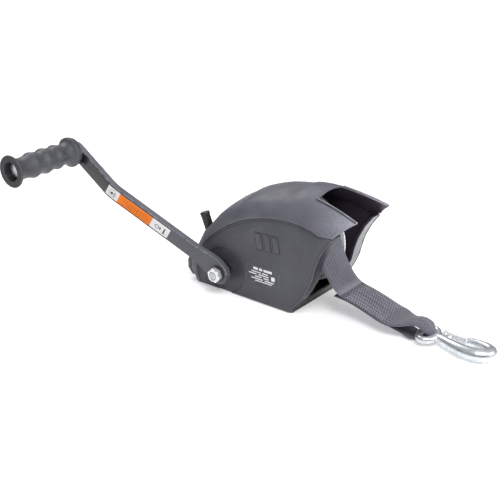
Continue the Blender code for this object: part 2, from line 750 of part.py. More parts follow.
def strap_winding(parent):
    """The wound strap as one ring, with a bore for the anchor bolt."""
    x = STRAP_WIDTH / 2
    profile = [(-x, HUB_RADIUS + GAP), (-x, WINDING_RADIUS - 0.0006), (-x + 0.0006, WINDING_RADIUS)]
    profile += [(x - 0.0006, WINDING_RADIUS), (x, WINDING_RADIUS - 0.0006), (x, HUB_RADIUS + GAP)]
    obj = add_object("strap_winding", turned(profile, segments=48), webbing(), parent)
    boolean(obj,
            cutter("winding_bore", rod_x(-x - 0.002, x + 0.002, ANCHOR_RADIUS + GAP, ANCHOR, 16), parent))
    return finish_round(obj)


# ---------------------------------------------------------------- crank


def drive_shaft(parent):
    """Shaft with a ring groove at the right and a stepped stud for the arm at the left."""
    groove = SIDE_PLATE_OUT + 0.0016
    profile = [(-0.0785, 0), (-0.0785, STUD_RADIUS - 0.0008), (-0.0777, STUD_RADIUS)]
    profile += [(ARM_INNER_X + GAP, STUD_RADIUS), (ARM_INNER_X + GAP, SHAFT_RADIUS), (groove, SHAFT_RADIUS)]
    profile += [(groove, 0.0066), (groove + 0.0016, 0.0066), (groove + 0.0016, SHAFT_RADIUS - 0.0006)]
    profile += [(groove + 0.0026, SHAFT_RADIUS - 0.0012), (groove + 0.0026, 0)]
    return finish_round(add_object("drive_shaft", turned(profile, segments=28), bare_steel(), parent))


def shaft_ring(parent):
    x = SIDE_PLATE_OUT + 0.0018
    bm = split_ring(x, x + 0.0011, 0.0069, 0.0115, radians(60))
    return add_object("shaft_retaining_ring", bm, bare_steel(), parent)


def pinion_gear(parent):
    """The tooth gaps face the drum gear's tooth on the centre line."""
    x1 = -(DRUM_HALF_WIDTH + FLANGE_THICKNESS + 2 * GAP)
    outline = gear_outline(PINION_TEETH, 0.9 * MODULE, CENTRE_LINE + pi + pi / PINION_TEETH)
    obj = add_object("pinion_gear", outline_prism(outline, RATCHET_X[1] + GAP, x1), bare_steel(), parent)
    boolean(obj, cutter("pinion_bore", rod_x(-0.04, -0.02, SHAFT_RADIUS + GAP, segments=28), parent))
    return obj


def pawl_point(along, across):
    """A point of the pawl and lever, relative to the pivot: along the lever upwards, and across it."""
    return (along * sin(LEVER_LEAN) + across * cos(LEVER_LEAN),
            along * cos(LEVER_LEAN) - across * sin(LEVER_LEAN))


PAWL_SWING_IN = radians(-9)
RATCHET_GAP = radians(4.4)


def swung(point, angle):
    y, z = point
    return (y * cos(angle) - z * sin(angle), y * sin(angle) + z * cos(angle))


def nose_point(radius, across):
    """A point of the pawl's nose at rest: when the pawl is swung in, it lies on the line of RATCHET_GAP."""
    y = SHAFT[0] - PAWL_PIVOT[0] + radius * cos(RATCHET_GAP) - across * sin(RATCHET_GAP)
    z = SHAFT[1] - PAWL_PIVOT[1] + radius * sin(RATCHET_GAP) + across * cos(RATCHET_GAP)
    return swung((y, z), -PAWL_SWING_IN)


def ratchet_wheel(parent):
    """Square-shouldered teeth; a gap faces the pawl's nose where it lies when it is swung in."""
    step = 2 * pi / RATCHET_TEETH
    outline = []
    for tooth in range(RATCHET_TEETH):
        middle = RATCHET_GAP + step * (tooth + 0.5)
        flanks = ((RATCHET_ROOT, -0.24), (RATCHET_TIP, -0.15), (RATCHET_TIP, 0.15), (RATCHET_ROOT, 0.24))
        for radius, share in flanks:
            outline.append((radius * cos(middle + share * step), radius * sin(middle + share * step)))
    obj = add_object("ratchet_wheel", outline_prism(outline, *RATCHET_X), bare_steel(), parent)
    boolean(obj, cutter("ratchet_bore", rod_x(-0.045, -0.03, SHAFT_RADIUS + GAP, segments=28), parent))
    return obj


def arm_offset(along):
    """How far the cranked arm stands out at a distance from the shaft; it leans back slightly at the grip."""
    start, end = ARM_BENDS
    if along < end:
        return -ARM_BEND_OFFSET * max(0.0, (along - start) / (end - start))
    return -ARM_BEND_OFFSET + (ARM_BEND_OFFSET - ARM_OFFSET) * (along - end) / (ARM_RADIUS - end)


def arm_curve(along):
    """The same with its bends softened."""
    reach = ARM_BEND_REACH / 2
    return (arm_offset(along - reach) + arm_offset(along) + arm_offset(along + reach)) / 3


def arm_bend_rows():
    return [ARM_BENDS[1] + ARM_BEND_REACH * share for share in (-1, -0.5, 0, 0.5)]


def crank_arm(parent):
    """A flat bar along +Y of its parent: round hub, tapered root, two flatwise bends, round outer end."""
    stations = [-ARM_HUB_RADIUS * cos(radians(a)) for a in (16, 38, 62)] + [0.0007, 0.012]
    halves = [ARM_HUB_RADIUS * sin(radians(a)) for a in (16, 38, 62)] + [ARM_HUB_RADIUS, ARM_HUB_RADIUS]
    stations += [ARM_BENDS[0] - ARM_BEND_REACH / 2, ARM_BENDS[0], ARM_BENDS[0] + ARM_BEND_REACH / 2, 0.042]
    halves += [0.0144, 0.0136, 0.0127, ARM_WIDTH / 2]
    stations += arm_bend_rows() + [ARM_BENDS[1] + ARM_BEND_REACH, ARM_RADIUS + 0.0006]
    halves += [ARM_WIDTH / 2] * 6
    for angle in (27, 50, 70):
        stations.append(ARM_RADIUS + ARM_WIDTH / 2 * sin(radians(angle)))
        halves.append(ARM_WIDTH / 2 * cos(radians(angle)))
    bm = bmesh.new()
    rows = []
    for y, half in zip(stations, halves):
        c = ARM_CHAMFER
        corners = [(0, c - half), (0, half - c), (-c, half), (c - ARM_THICKNESS, half),
                   (-ARM_THICKNESS, half - c)]
        corners += [(-ARM_THICKNESS, c - half), (c - ARM_THICKNESS, -half), (-c, -half)]
        rows.append([bm.verts.new((ARM_INNER_X + arm_curve(y) + x, y, z)) for x, z in corners])
    for a, b in zip(rows, rows[1:]):
        for k in range(8):
            m = (k + 1) % 8
            bm.faces.new((a[k], a[m], b[m], b[k]))
    bm.faces.new(rows[0])
    bm.faces.new(list(reversed(rows[-1])))
    bmesh.ops.recalc_face_normals(bm, faces=bm.faces)
    obj = add_object("crank_arm", bm, grey_steel(), parent)
    hub = rod_x(ARM_INNER_X - 0.02, ARM_INNER_X + 0.01, STUD_RADIUS + GAP)
    boolean(obj, cutter("arm_stud_hole", hub, parent))
    outer = rod_x(ARM_INNER_X - ARM_OFFSET - 0.02, ARM_INNER_X - ARM_OFFSET + 0.01, PIN_RADIUS + GAP)
    bmesh.ops.translate(outer, vec=(0, ARM_RADIUS, 0), verts=outer.verts)
    boolean(obj, cutter("arm_pin_hole", outer, parent))
    return obj


LABEL_START = 0.0785
LABEL_HALF_WIDTH = 0.0078


def arm_label(parent):
    """A thin label on the arm's inclined outer face, up to and over its outer bend."""
    face = ARM_INNER_X - ARM_THICKNESS - GAP * 1.2
    bm = bmesh.new()
    rows = []
    for y in [LABEL_START] + arm_bend_rows():
        x = face + arm_curve(y)
        row = [(x, -1), (x, 1), (x - 0.0004, 1), (x - 0.0004, -1)]
        rows.append([bm.verts.new((px, y, pz * LABEL_HALF_WIDTH)) for px, pz in row])
    for a, b in zip(rows, rows[1:]):
        for k in range(4):
            m = (k + 1) % 4
            bm.faces.new((a[k], a[m], b[m], b[k]))
    bm.faces.new(rows[0])
    bm.faces.new(list(reversed(rows[-1])))
    bmesh.ops.recalc_face_normals(bm, faces=bm.faces)
    return add_object("arm_label", bm, label_vinyl(), parent)


def arm_washer(parent):
    x = ARM_INNER_X - ARM_THICKNESS - GAP
    bm = ring_x(x - 0.0014, x, STUD_RADIUS + GAP, 0.0108, segments=28)
    return finish_round(add_object("arm_washer", bm, black_steel(), parent))


def arm_nut(parent):
    """A hexagon lock nut with a round collar at its outer end."""
    x1 = ARM_INNER_X - ARM_THICKNESS - 0.0014 - 2 * GAP
    x0 = x1 - 0.0062
    hexagon = [(0.0097 * cos(radians(a)), 0.0097 * sin(radians(a))) for a in range(12, 372, 60)]
    obj = add_object("arm_lock_nut", outline_prism(hexagon, x0, x1), zinc(), parent)
    collar = cutter("nut_collar", rod_x(x0 - 0.0016, x0 + 0.001, 0.0076), parent)
    boolean(obj, collar, "UNION")
    boolean(obj, cutter("nut_bore", rod_x(x0 - 0.01, x1 + 0.01, STUD_RADIUS + GAP, segments=20), parent))
    return obj


def grip_pin(parent):
    """Fixed in the arm's outer end; its head keeps the grip on."""
    arm_inner = ARM_INNER_X - ARM_OFFSET
    inner = arm_inner - ARM_THICKNESS
    end = inner - 0.0008 - GRIP_LENGTH + 0.0087
    face = arm_inner + 2 * GAP
    profile = [(arm_inner + 0.0030, 0), (arm_inner + 0.0026, 0.0070), (face, 0.0085)]
    profile += [(face, PIN_RADIUS), (end, PIN_RADIUS), (end, 0.0098), (end - 0.0020, 0.0092)]
    profile += [(end - 0.0026, 0)]
    return finish_round(add_object("grip_pin", turned(profile, segments=24), zinc(), parent))


def hand_grip(parent):
    """A rounded grip, origin at its inner end on its turning axis: flange, three swells, flange, open end."""
    inner_end = -0.0008
    outer_end = inner_end - GRIP_LENGTH
    outside = [(0.0, 0.0160), (0.004, 0.0186), (0.008, 0.0195), (0.011, 0.0184), (0.0145, 0.0150),
               (0.020, 0.0134), (0.0260, 0.0139), (0.033, 0.0160), (0.0400, 0.0145), (0.0440, 0.0144),
               (0.052, 0.0164), (0.0595, 0.0147), (0.0635, 0.0146), (0.072, 0.0164),
               (0.080, 0.0145), (0.088, 0.0136),
               (0.095, 0.0144), (0.1005, 0.0182), (0.1030, GRIP_FLANGE_RADIUS), (0.1050, 0.0202)]
    profile = [(inner_end - x, r) for x, r in outside]
    profile += [(outer_end + 0.0005, 0.0122), (outer_end + 0.0090, 0.0114),
                (outer_end + 0.0090, GRIP_BORE_RADIUS)]
    profile += [(inner_end, GRIP_BORE_RADIUS)]
    return finish_round(add_object("hand_grip", turned(profile, segments=36), grip_rubber(), parent), 45)


# ---------------------------------------------------------------- pawl and lever


def ratchet_pawl(parent):
    """A flat lever about its parent's origin: nose below, hub, and a tang up into the sleeve."""
    outline = [nose_point(0.0190, 0.0010), nose_point(0.0190, -0.0010), nose_point(0.0235, -0.0026)]
    outline += [(0.0040, -0.0150), (0.0062, -0.0100)]
    outline += arc((0, 0), 0.0085, -42, 38, 5)
    outline += [pawl_point(0.0120, 0.0042), pawl_point(0.0360, 0.0042), pawl_point(0.0360, -0.0042)]
    outline += [pawl_point(0.0120, -0.0042)]
    outline += arc((0, 0), 0.0085, 132, 200, 4)
    outline += [(-0.0072, -0.0100), nose_point(0.0235, 0.0026)]
    obj = add_object("ratchet_pawl", outline_prism(outline, *RATCHET_X), bare_steel(), parent)
    bore = rod_x(RATCHET_X[0] - 0.002, RATCHET_X[1] + 0.002, PAWL_PIN_RADIUS + GAP, segments=20)
    boolean(obj, cutter("pawl_bore", bore, parent))
    return obj


def lever_sleeve(parent):
    """A round black sleeve over the pawl's tang, with a slot that is open at the bottom."""
    middle = sum(RATCHET_X) / 2
    start = 0.0160
    profile = [(start, 0), (start, 0.0055), (start + 0.001, SLEEVE_RADIUS),
               (LEVER_TOP - 0.0050, SLEEVE_RADIUS)]
    profile += [(LEVER_TOP - 0.0044, SLEEVE_RADIUS + 0.0005), (LEVER_TOP - 0.0008, SLEEVE_RADIUS + 0.0005)]
    profile += [(LEVER_TOP, SLEEVE_RADIUS - 0.0012), (LEVER_TOP, 0)]
    bm = turned(profile, segments=20)
    slot = box((start - 0.002, -0.0042 - GAP, -0.00225 - GAP), (0.0360 + GAP, 0.0042 + GAP, 0.00225 + GAP))
    for shape in (bm, slot):
        turn = Matrix.Rotation(-(pi / 2), 3, "Y")
        bmesh.ops.rotate(shape, matrix=turn, verts=shape.verts)
        bmesh.ops.rotate(shape, matrix=Matrix.Rotation(-LEVER_LEAN, 3, "X"), verts=shape.verts)
        bmesh.ops.translate(shape, vec=(middle, 0, 0), verts=shape.verts)
    obj = add_object("lever_sleeve", bm, lever_plastic(), parent)
    boolean(obj, cutter("sleeve_slot", slot, parent))
    return finish_round(obj)


def pawl_spring():
    """A torsion spring around the pivot pin, between the side plate and the pawl."""
    turns = 1.25
    radius = 0.0062
    wire = 0.00035
    x0 = -SIDE_PLATE_IN + wire + GAP
    x1 = RATCHET_X[0] - wire - GAP
    steps = 20
    coil = []
    for k in range(steps + 1):
        angle = 2 * pi * turns * k / steps
        coil.append(Vector((x0 + (x1 - x0) * k / steps, radius * cos(angle), radius * sin(angle))))
    points = [coil[0] + Vector((0, 0, -0.010))] + coil + [coil[-1] + Vector((0, -0.009, 0))]
    bm = tube(points, [wire] * len(points), 8)
    bmesh.ops.translate(bm, vec=(0, front(PAWL_PIVOT[0]), PAWL_PIVOT[1]), verts=bm.verts)
    return finish_round(add_object("pawl_spring", bm, zinc()))


# ---------------------------------------------------------------- strap


def strap_path():
    """The strap's centre line in (x, y, z): off the winding, down to the hook's eye, round it and back."""
    wound = WINDING_RADIUS + GAP + STRAP_THICKNESS / 2
    leave = [(DRUM[0] + wound * cos(radians(a)), DRUM[1] + wound * sin(radians(a))) for a in (150, 158, 166)]
    down = [(-0.0190, 0.0745), (-0.0232, 0.0650), (-0.0300, 0.0532), (-0.0378, 0.0415), (-0.0462, 0.0332)]
    down += [(-0.0560, 0.0288), (-0.0720, 0.0258), (-0.0900, 0.0222), (-0.1120, 0.0180), (-0.1300, 0.0168)]
    over = [(-0.1440, 0.0196), (-0.1560, 0.0211), (-0.1646, 0.0182), (-0.1685, 0.0128), (-0.1674, 0.0068)]
    back = [(-0.1610, 0.0024), (-0.1500, 0.0022), (-0.1400, 0.0042), (-0.1310, 0.0084), (-0.1235, 0.0128)]
    return smooth_curve([(0, front(y), z) for y, z in leave + down + over + back], 2)


def strap_tail(path):
    """The stitched tail: a strap's thickness below the top layer, with a loose end that sticks out behind."""
    low = front(-0.1180)
    high = front(-0.0590)
    layer = STRAP_THICKNESS + 0.0005
    tail = []
    for before, point, after in zip(path, path[1:], path[2:]):
        if low < point.y < high:
            along = (after - before).normalized()
            down = Vector((0, -along.z, along.y))
            if down.z > 0:
                down.negate()
            tail.append(point + down * layer)
    tail.reverse()
    return tail + [Vector((0, front(y), z)) for y, z in ((-0.0510, 0.0264), (-0.0430, 0.0266))]


def strap_half_width(y):
    """The strap narrows where it is gathered through the hook's eye."""
    full = front(-0.113)
    narrow = front(-0.148)
    share = min(1.0, max(0.0, (full - y) / (full - narrow)))
    share = share * share * (3 - 2 * share)
    return STRAP_WIDTH / 2 * (1 - share) + GATHERED_HALF_WIDTH * share


def strap_drift(y):
    """The strap runs slightly to one side on its way to the hook."""
    start = front(-0.060)
    share = min(1.0, max(0.0, (start - y) / (start - front(LOOP_BAR[1]))))
    return LOOP_BAR[0] * share * share * (3 - 2 * share)


def strap():
    path = strap_path()
    line = path + strap_tail(path)
    bm = bmesh.new()
    rows = []
    for i, point in enumerate(line):
        along = (line[min(i + 1, len(line) - 1)] - line[max(i - 1, 0)]).normalized()
        across = Vector((0, along.z, -along.y)) * (STRAP_THICKNESS / 2)
        half = strap_half_width(point.y)
        x = strap_drift(point.y)
        row = [(-half, -1), (half, -1), (half, 1), (-half, 1)]
        rows.append([bm.verts.new((x + px, *(point + across * s).yz)) for px, s in row])
    for a, b in zip(rows, rows[1:]):
        for k in range(4):
            m = (k + 1) % 4
            bm.faces.new((a[k], a[m], b[m], b[k]))
    bm.faces.new(rows[0])
    bm.faces.new(list(reversed(rows[-1])))
    bmesh.ops.recalc_face_normals(bm, faces=bm.faces)
    return add_object("strap", bm, webbing())


# ---------------------------------------------------------------- hook


# The hook's middle line from neck to tip: across from the neck's line, distance from the bar, rod radius
HOOK_LINE = [(0.0000, 0.0205, 0.0046), (-0.0015, 0.0280, 0.0056), (-0.0050, 0.0380, 0.0066),
             (-0.0085, 0.0500, 0.0072), (-0.0105, 0.0630, 0.0078), (-0.0095, 0.0760, 0.0082),
             (-0.0030, 0.0860, 0.0082), (0.0060, 0.0875, 0.0076), (0.0125, 0.0800, 0.0066),
             (0.0150, 0.0690, 0.0056), (0.0152, 0.0590, 0.0048), (0.0142, 0.0520, 0.0042)]
HOOK_DROP = 0.0004
EYE_CENTRE = 0.0100
EYE_HALF = (0.0160, 0.0100)
LATCH_PIVOT = (0.0084, 0.0275)
LATCH_TIP = (0.0080, 0.0545)
LATCH_HALF_THICKNESS = 0.00175
LATCH_LOBE = 0.0032
LATCH_Z = (-0.0050, 0.0055)
LUG_HALF_HEIGHT = 0.0022
RIVET_SHANK = 0.0017


def hook_tube():
    """The hook from its neck round to its tip: a swept rod of changing radius that ends in a small dome."""
    points = []
    radii = []
    for point in smooth_curve(HOOK_LINE, 3):
        points.append(Vector((point.x, -point.y, -HOOK_DROP * min(1.0, point.y / 0.08))))
        radii.append(point.z)
    points.append(points[-1] + (points[-1] - points[-2]).normalized() * radii[-1] * 0.7)
    radii.append(radii[-1] * 0.55)
    return tube(points, radii, 14)


def hook_eye():
    """An oval ring whose near bar passes through its parent's origin."""
    bm = bmesh.new()
    rings = []
    count = 28
    segments = 12
    for i in range(count):
        t = 2 * pi * i / count
        centre = Vector((EYE_HALF[0] * cos(t), -EYE_CENTRE - EYE_HALF[1] * sin(t), 0))
        along = Vector((-EYE_HALF[0] * sin(t), -EYE_HALF[1] * cos(t), 0)).normalized()
        side = Vector((-along.y, along.x, 0))
        ring = []
        for k in range(segments):
            angle = 2 * pi * k / segments
            ring.append(bm.verts.new(centre + side * EYE_WIRE * cos(angle)
                                     + Vector((0, 0, EYE_WIRE * sin(angle)))))
        rings.append(ring)
    for i in range(count):
        a = rings[i]
        b = rings[(i + 1) % count]
        for k in range(segments):
            m = (k + 1) % segments
            bm.faces.new((a[k], a[m], b[m], b[k]))
    bmesh.ops.recalc_face_normals(bm, faces=bm.faces)
    return bm


def upright_rod(x, y, z0, z1, radius, segments=16):
    bm = rod_x(z0, z1, radius, segments=segments)
    bmesh.ops.rotate(bm, matrix=Matrix.Rotation(-pi / 2, 3, "Y"), verts=bm.verts)
    bmesh.ops.translate(bm, vec=(x, y, 0), verts=bm.verts)
    return bm


def snap_hook(parent):
    """Eye, hook and a lug beside the neck that carries the latch's rivet."""
    obj = add_object("snap_hook", hook_tube(), zinc(), parent)
    boolean(obj, cutter("hook_eye", hook_eye(), parent), "UNION")
    x, u = LATCH_PIVOT
    lug = box((-0.0040, -u - 0.0042, -LUG_HALF_HEIGHT), (x + 0.0034, -u + 0.0042, LUG_HALF_HEIGHT))
    boolean(obj, cutter("latch_lug", lug, parent), "UNION")
    boolean(obj, cutter("lug_bore", upright_rod(x, -u, -0.01, 0.01, RIVET_SHANK + GAP), parent))
    return finish_round(obj, 40)


def hook_latch(parent):
    """A gate of sheet metal, origin on its rivet: two cheeks round the lug and an outer web."""
    reach = Vector((LATCH_TIP[0] - LATCH_PIVOT[0], LATCH_PIVOT[1] - LATCH_TIP[1], 0))
    along = reach.normalized()
    side = Vector((-along.y, along.x, 0))
    length = reach.length
    half = LATCH_HALF_THICKNESS

    def block(outline, z0, z1):
        """A prism between two heights, from points given along the latch and across it."""
        bm = bmesh.new()
        corners = [along * u + side * v for u, v in outline]
        bottom = [bm.verts.new((c.x, c.y, z0)) for c in corners]
        top = [bm.verts.new((c.x, c.y, z1)) for c in corners]
        bm.faces.new(bottom)
        bm.faces.new(list(reversed(top)))
        for k in range(len(corners)):
            m = (k + 1) % len(corners)
            bm.faces.new((bottom[m], bottom[k], top[k], top[m]))
        bmesh.ops.recalc_face_normals(bm, faces=bm.faces)
        return bm

    def bar(start, end, low, high):
        return [(start, low), (end, low), (end, high), (start, high)]

    lobe_start = degrees(asin(half / LATCH_LOBE))
    body = [(length, -half), (length, half)] + arc((0, 0), LATCH_LOBE, lobe_start, 360 - lobe_start, 11)
    obj = add_object("hook_latch", block(body, *LATCH_Z), zinc(), parent)
    fork = block(bar(-0.0080, 0.0072, -0.0060, 0.0060), -LUG_HALF_HEIGHT - 0.0005, LUG_HALF_HEIGHT + 0.0005)
    boolean(obj, cutter("latch_fork", fork, parent))
    hollow = block(bar(0.0062, length - 0.0040, -0.0060, 0.0006), LATCH_Z[0] + 0.0014, LATCH_Z[1] - 0.0014)
    boolean(obj, cutter("latch_hollow", hollow, parent))
    boolean(obj, cutter("latch_bore", upright_rod(0, 0, -0.01, 0.01, RIVET_SHANK + GAP), parent))
    return obj


def latch_rivet(parent):
    x, u = LATCH_PIVOT
    low = LATCH_Z[0] - GAP
    high = LATCH_Z[1] + GAP
    profile = [(low - 0.0010, 0), (low - 0.0008, 0.0024), (low, 0.0028), (low, RIVET_SHANK)]
    profile += [(high, RIVET_SHANK), (high, 0.0028), (high + 0.0008, 0.0024), (high + 0.0010, 0)]
    bm = turned(profile, segments=14)
    bmesh.ops.rotate(bm, matrix=Matrix.Rotation(-pi / 2, 3, "Y"), verts=bm.verts)
    bmesh.ops.translate(bm, vec=(x, -u, 0), verts=bm.verts)
    return finish_round(add_object("latch_rivet", bm, zinc(), parent))


# ---------------------------------------------------------------- assembly


def build_frame():
    base_plate()
    side_plate("left_side_plate", -1)
    side_plate("right_side_plate", 1)
    tie_bar()
    hood_cover()
    side_cover("left_side_cover", -1)
    side_cover("right_side_cover", 1)
    cover_screws()
    drum_axle()
    axle_ring()
    shaft_bushing("left_shaft_bushing", -1)
    shaft_bushing("right_shaft_bushing", 1)
    thrust_washer("left_thrust_washer", -1)
    thrust_washer("right_thrust_washer", 1)
    pawl_pin()
    pawl_clip()
    pawl_spring()
    strap()


def build_drum():
    axis = axis_empty("drum_axis", (0, front(DRUM[0]), DRUM[1]))
    drum_hub(axis)
    drum_bushing("left_drum_bushing", -0.0300, -0.0362 - GAP, -0.0370, axis)
    drum_bushing("right_drum_bushing", 0.0200, 0.0303, 0.0370, axis)
    flange("left_flange", -1, axis)
    flange("right_flange", 1, axis)
    drum_gear(axis)
    drum_rivets(axis)
    anchor_bolt(axis)
    strap_winding(axis)


def build_crank():
    axis = axis_empty("crank_axis", (0, front(SHAFT[0]), SHAFT[1]))
    drive_shaft(axis)
    shaft_ring(axis)
    pinion_gear(axis)
    ratchet_wheel(axis)
    arm_washer(axis)
    arm_nut(axis)
    arm_frame = axis_empty("arm_frame", (0, 0, 0), (ARM_ANGLE, 0, 0), axis)
    crank_arm(arm_frame)
    arm_label(arm_frame)
    pin_frame = axis_empty("pin_frame", (0, ARM_RADIUS, 0), parent=arm_frame)
    grip_pin(pin_frame)
    grip_axis = axis_empty("grip_axis", (ARM_INNER_X - ARM_OFFSET - ARM_THICKNESS, ARM_RADIUS, 0),
                           parent=arm_frame)
    hand_grip(grip_axis)


def build_pawl():
    axis = axis_empty("pawl_axis", (0, front(PAWL_PIVOT[0]), PAWL_PIVOT[1]))
    ratchet_pawl(axis)
    lever_sleeve(axis)


def build_hook():
    x, y, z = LOOP_BAR
    axis = axis_empty("hook_axis", (x, front(y), z))
    snap_hook(axis)
    latch_rivet(axis)
    latch_axis = axis_empty("latch_axis", (LATCH_PIVOT[0], -LATCH_PIVOT[1], 0), parent=axis)
    hook_latch(latch_axis)


clear_scene()
build_frame()
build_drum()
build_crank()
build_pawl()
build_hook()
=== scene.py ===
"""Looks of the boat trailer winch: hood, covers, crank, webbing strap, snap hook, and their materials."""
from math import atan2, cos, pi, radians, sin, sqrt

import bmesh
import bpy
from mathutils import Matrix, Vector


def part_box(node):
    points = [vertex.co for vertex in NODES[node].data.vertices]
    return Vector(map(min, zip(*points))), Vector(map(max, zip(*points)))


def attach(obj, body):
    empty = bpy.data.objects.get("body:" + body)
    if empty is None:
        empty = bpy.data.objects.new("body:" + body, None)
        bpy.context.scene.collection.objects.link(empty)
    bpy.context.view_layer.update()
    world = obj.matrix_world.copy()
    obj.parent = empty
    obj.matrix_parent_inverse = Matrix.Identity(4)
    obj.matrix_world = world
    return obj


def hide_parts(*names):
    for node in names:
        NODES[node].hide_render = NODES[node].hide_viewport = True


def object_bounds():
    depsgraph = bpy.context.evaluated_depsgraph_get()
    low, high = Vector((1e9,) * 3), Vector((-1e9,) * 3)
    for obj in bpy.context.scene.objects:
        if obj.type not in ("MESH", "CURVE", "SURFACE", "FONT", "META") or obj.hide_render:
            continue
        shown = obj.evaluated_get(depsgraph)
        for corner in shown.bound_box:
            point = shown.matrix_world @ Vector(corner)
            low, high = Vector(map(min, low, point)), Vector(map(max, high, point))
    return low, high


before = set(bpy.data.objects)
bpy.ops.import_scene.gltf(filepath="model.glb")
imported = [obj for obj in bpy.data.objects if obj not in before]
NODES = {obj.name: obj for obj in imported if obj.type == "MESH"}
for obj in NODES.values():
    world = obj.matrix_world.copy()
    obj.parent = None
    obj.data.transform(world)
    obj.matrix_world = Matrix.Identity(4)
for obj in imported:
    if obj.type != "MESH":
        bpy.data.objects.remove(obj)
cad_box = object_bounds()

# Metres. The frame's origin is in the base's middle. Places along the winch are given as distances from the
# base's front edge, and front() turns them into y.
BASE_HALF_LENGTH = 0.07675
COVER_FACE = 0.0535  # how far a side cover's outer face lies from the middle
SHAFT = (0.1046, 0.0305)  # the drive shaft: distance from the front edge, and height
DRUM = (0.037694, 0.06991)  # the drum's axle, likewise
WINDING_RADIUS = 0.054
HUB_RADIUS = 0.0163
ARM_ANGLE = radians(32.5)
GRIP_LENGTH = 0.105

# The strap. It is bunched over the bar of the hook's eye, gathered inside the eye, and wider again below.
STRAP_WIDTH = 0.050
STRAP_THICKNESS = 0.0018
STRAP_GAP = 0.0003  # between the strap and the winding that it leaves
BUNCHED_HALF_WIDTH = 0.0132
GATHERED_HALF_WIDTH = 0.0080
LOWER_HALF_WIDTH = 0.0130
LOOP_X = -0.0100  # the loop in the eye lies this far to the left
LOOP_Y = -0.1570
DOUBLED = (-0.1180, -0.0590)  # where the strap's tail lies under it
SEWN = (-0.1160, -0.0600)  # where rows of stitches hold the two together
PRESSED = (-0.1220, -0.0530)  # where the stitches mark the weave
STRAP_COLUMNS = 76
STRAP_STEP = 0.0012
STRAP_RIBS = 10
RIB_HEIGHT = 0.00022
ARCH = 0.0034  # how far the bunched strap crowns
PUFF = 0.0034  # how far it stands off the eye's bar

# The webbing's weave and its sewn marks
RIB_PITCH = 0.0026
CHEVRON_PITCH = 0.0017
DASH_PITCH = 0.0034
DASH_STAGGER = 0.0011

# The recess round the shaft in the near cover, with painted shade in it and a darker painted shade line
# inside its rim
RECESS_RADIUS = 0.0306
RECESS_SHADE_LINE = 0.0304
SOFT_EDGE = 0.0008

# The label on the crank arm, as distances along it from the shaft
LABEL_ENDS = (0.0785, 0.174)
PAINT_CHANGE = (0.164, 0.174)  # the arm's paint looks darker beyond this, past the outer bend

CAMERA_PLACE = (-0.9883, -0.74805, 0.59105)
CAMERA_DIRECTION = (0.7196, 0.5662, -0.4019)
CAMERA_LENS = 75.4
CAMERA_SENSOR = 36.0


def front(y):
    """A distance from the base's front edge, as y in the shared frame."""
    return y - BASE_HALF_LENGTH


def linked(name, mesh):
    piece = bpy.data.objects.new(name, mesh)
    bpy.context.scene.collection.objects.link(piece)
    return piece


def linked_shape(name, shape):
    """The bmesh as a new piece."""
    mesh = bpy.data.meshes.new(name)
    shape.to_mesh(mesh)
    shape.free()
    return linked(name, mesh)


def smooth(piece, angle):
    for polygon in piece.data.polygons:
        polygon.use_smooth = True
    piece.data.set_sharp_from_angle(angle=radians(angle))
    return piece


def bake(piece):
    """Replaces the piece's mesh by the mesh that its modifiers give."""
    bpy.context.view_layer.update()
    shaped = piece.evaluated_get(bpy.context.evaluated_depsgraph_get())
    mesh = bpy.data.meshes.new_from_object(shaped)
    piece.modifiers.clear()
    piece.data = mesh
    return piece


# ---------------------------------------------------------------- materials

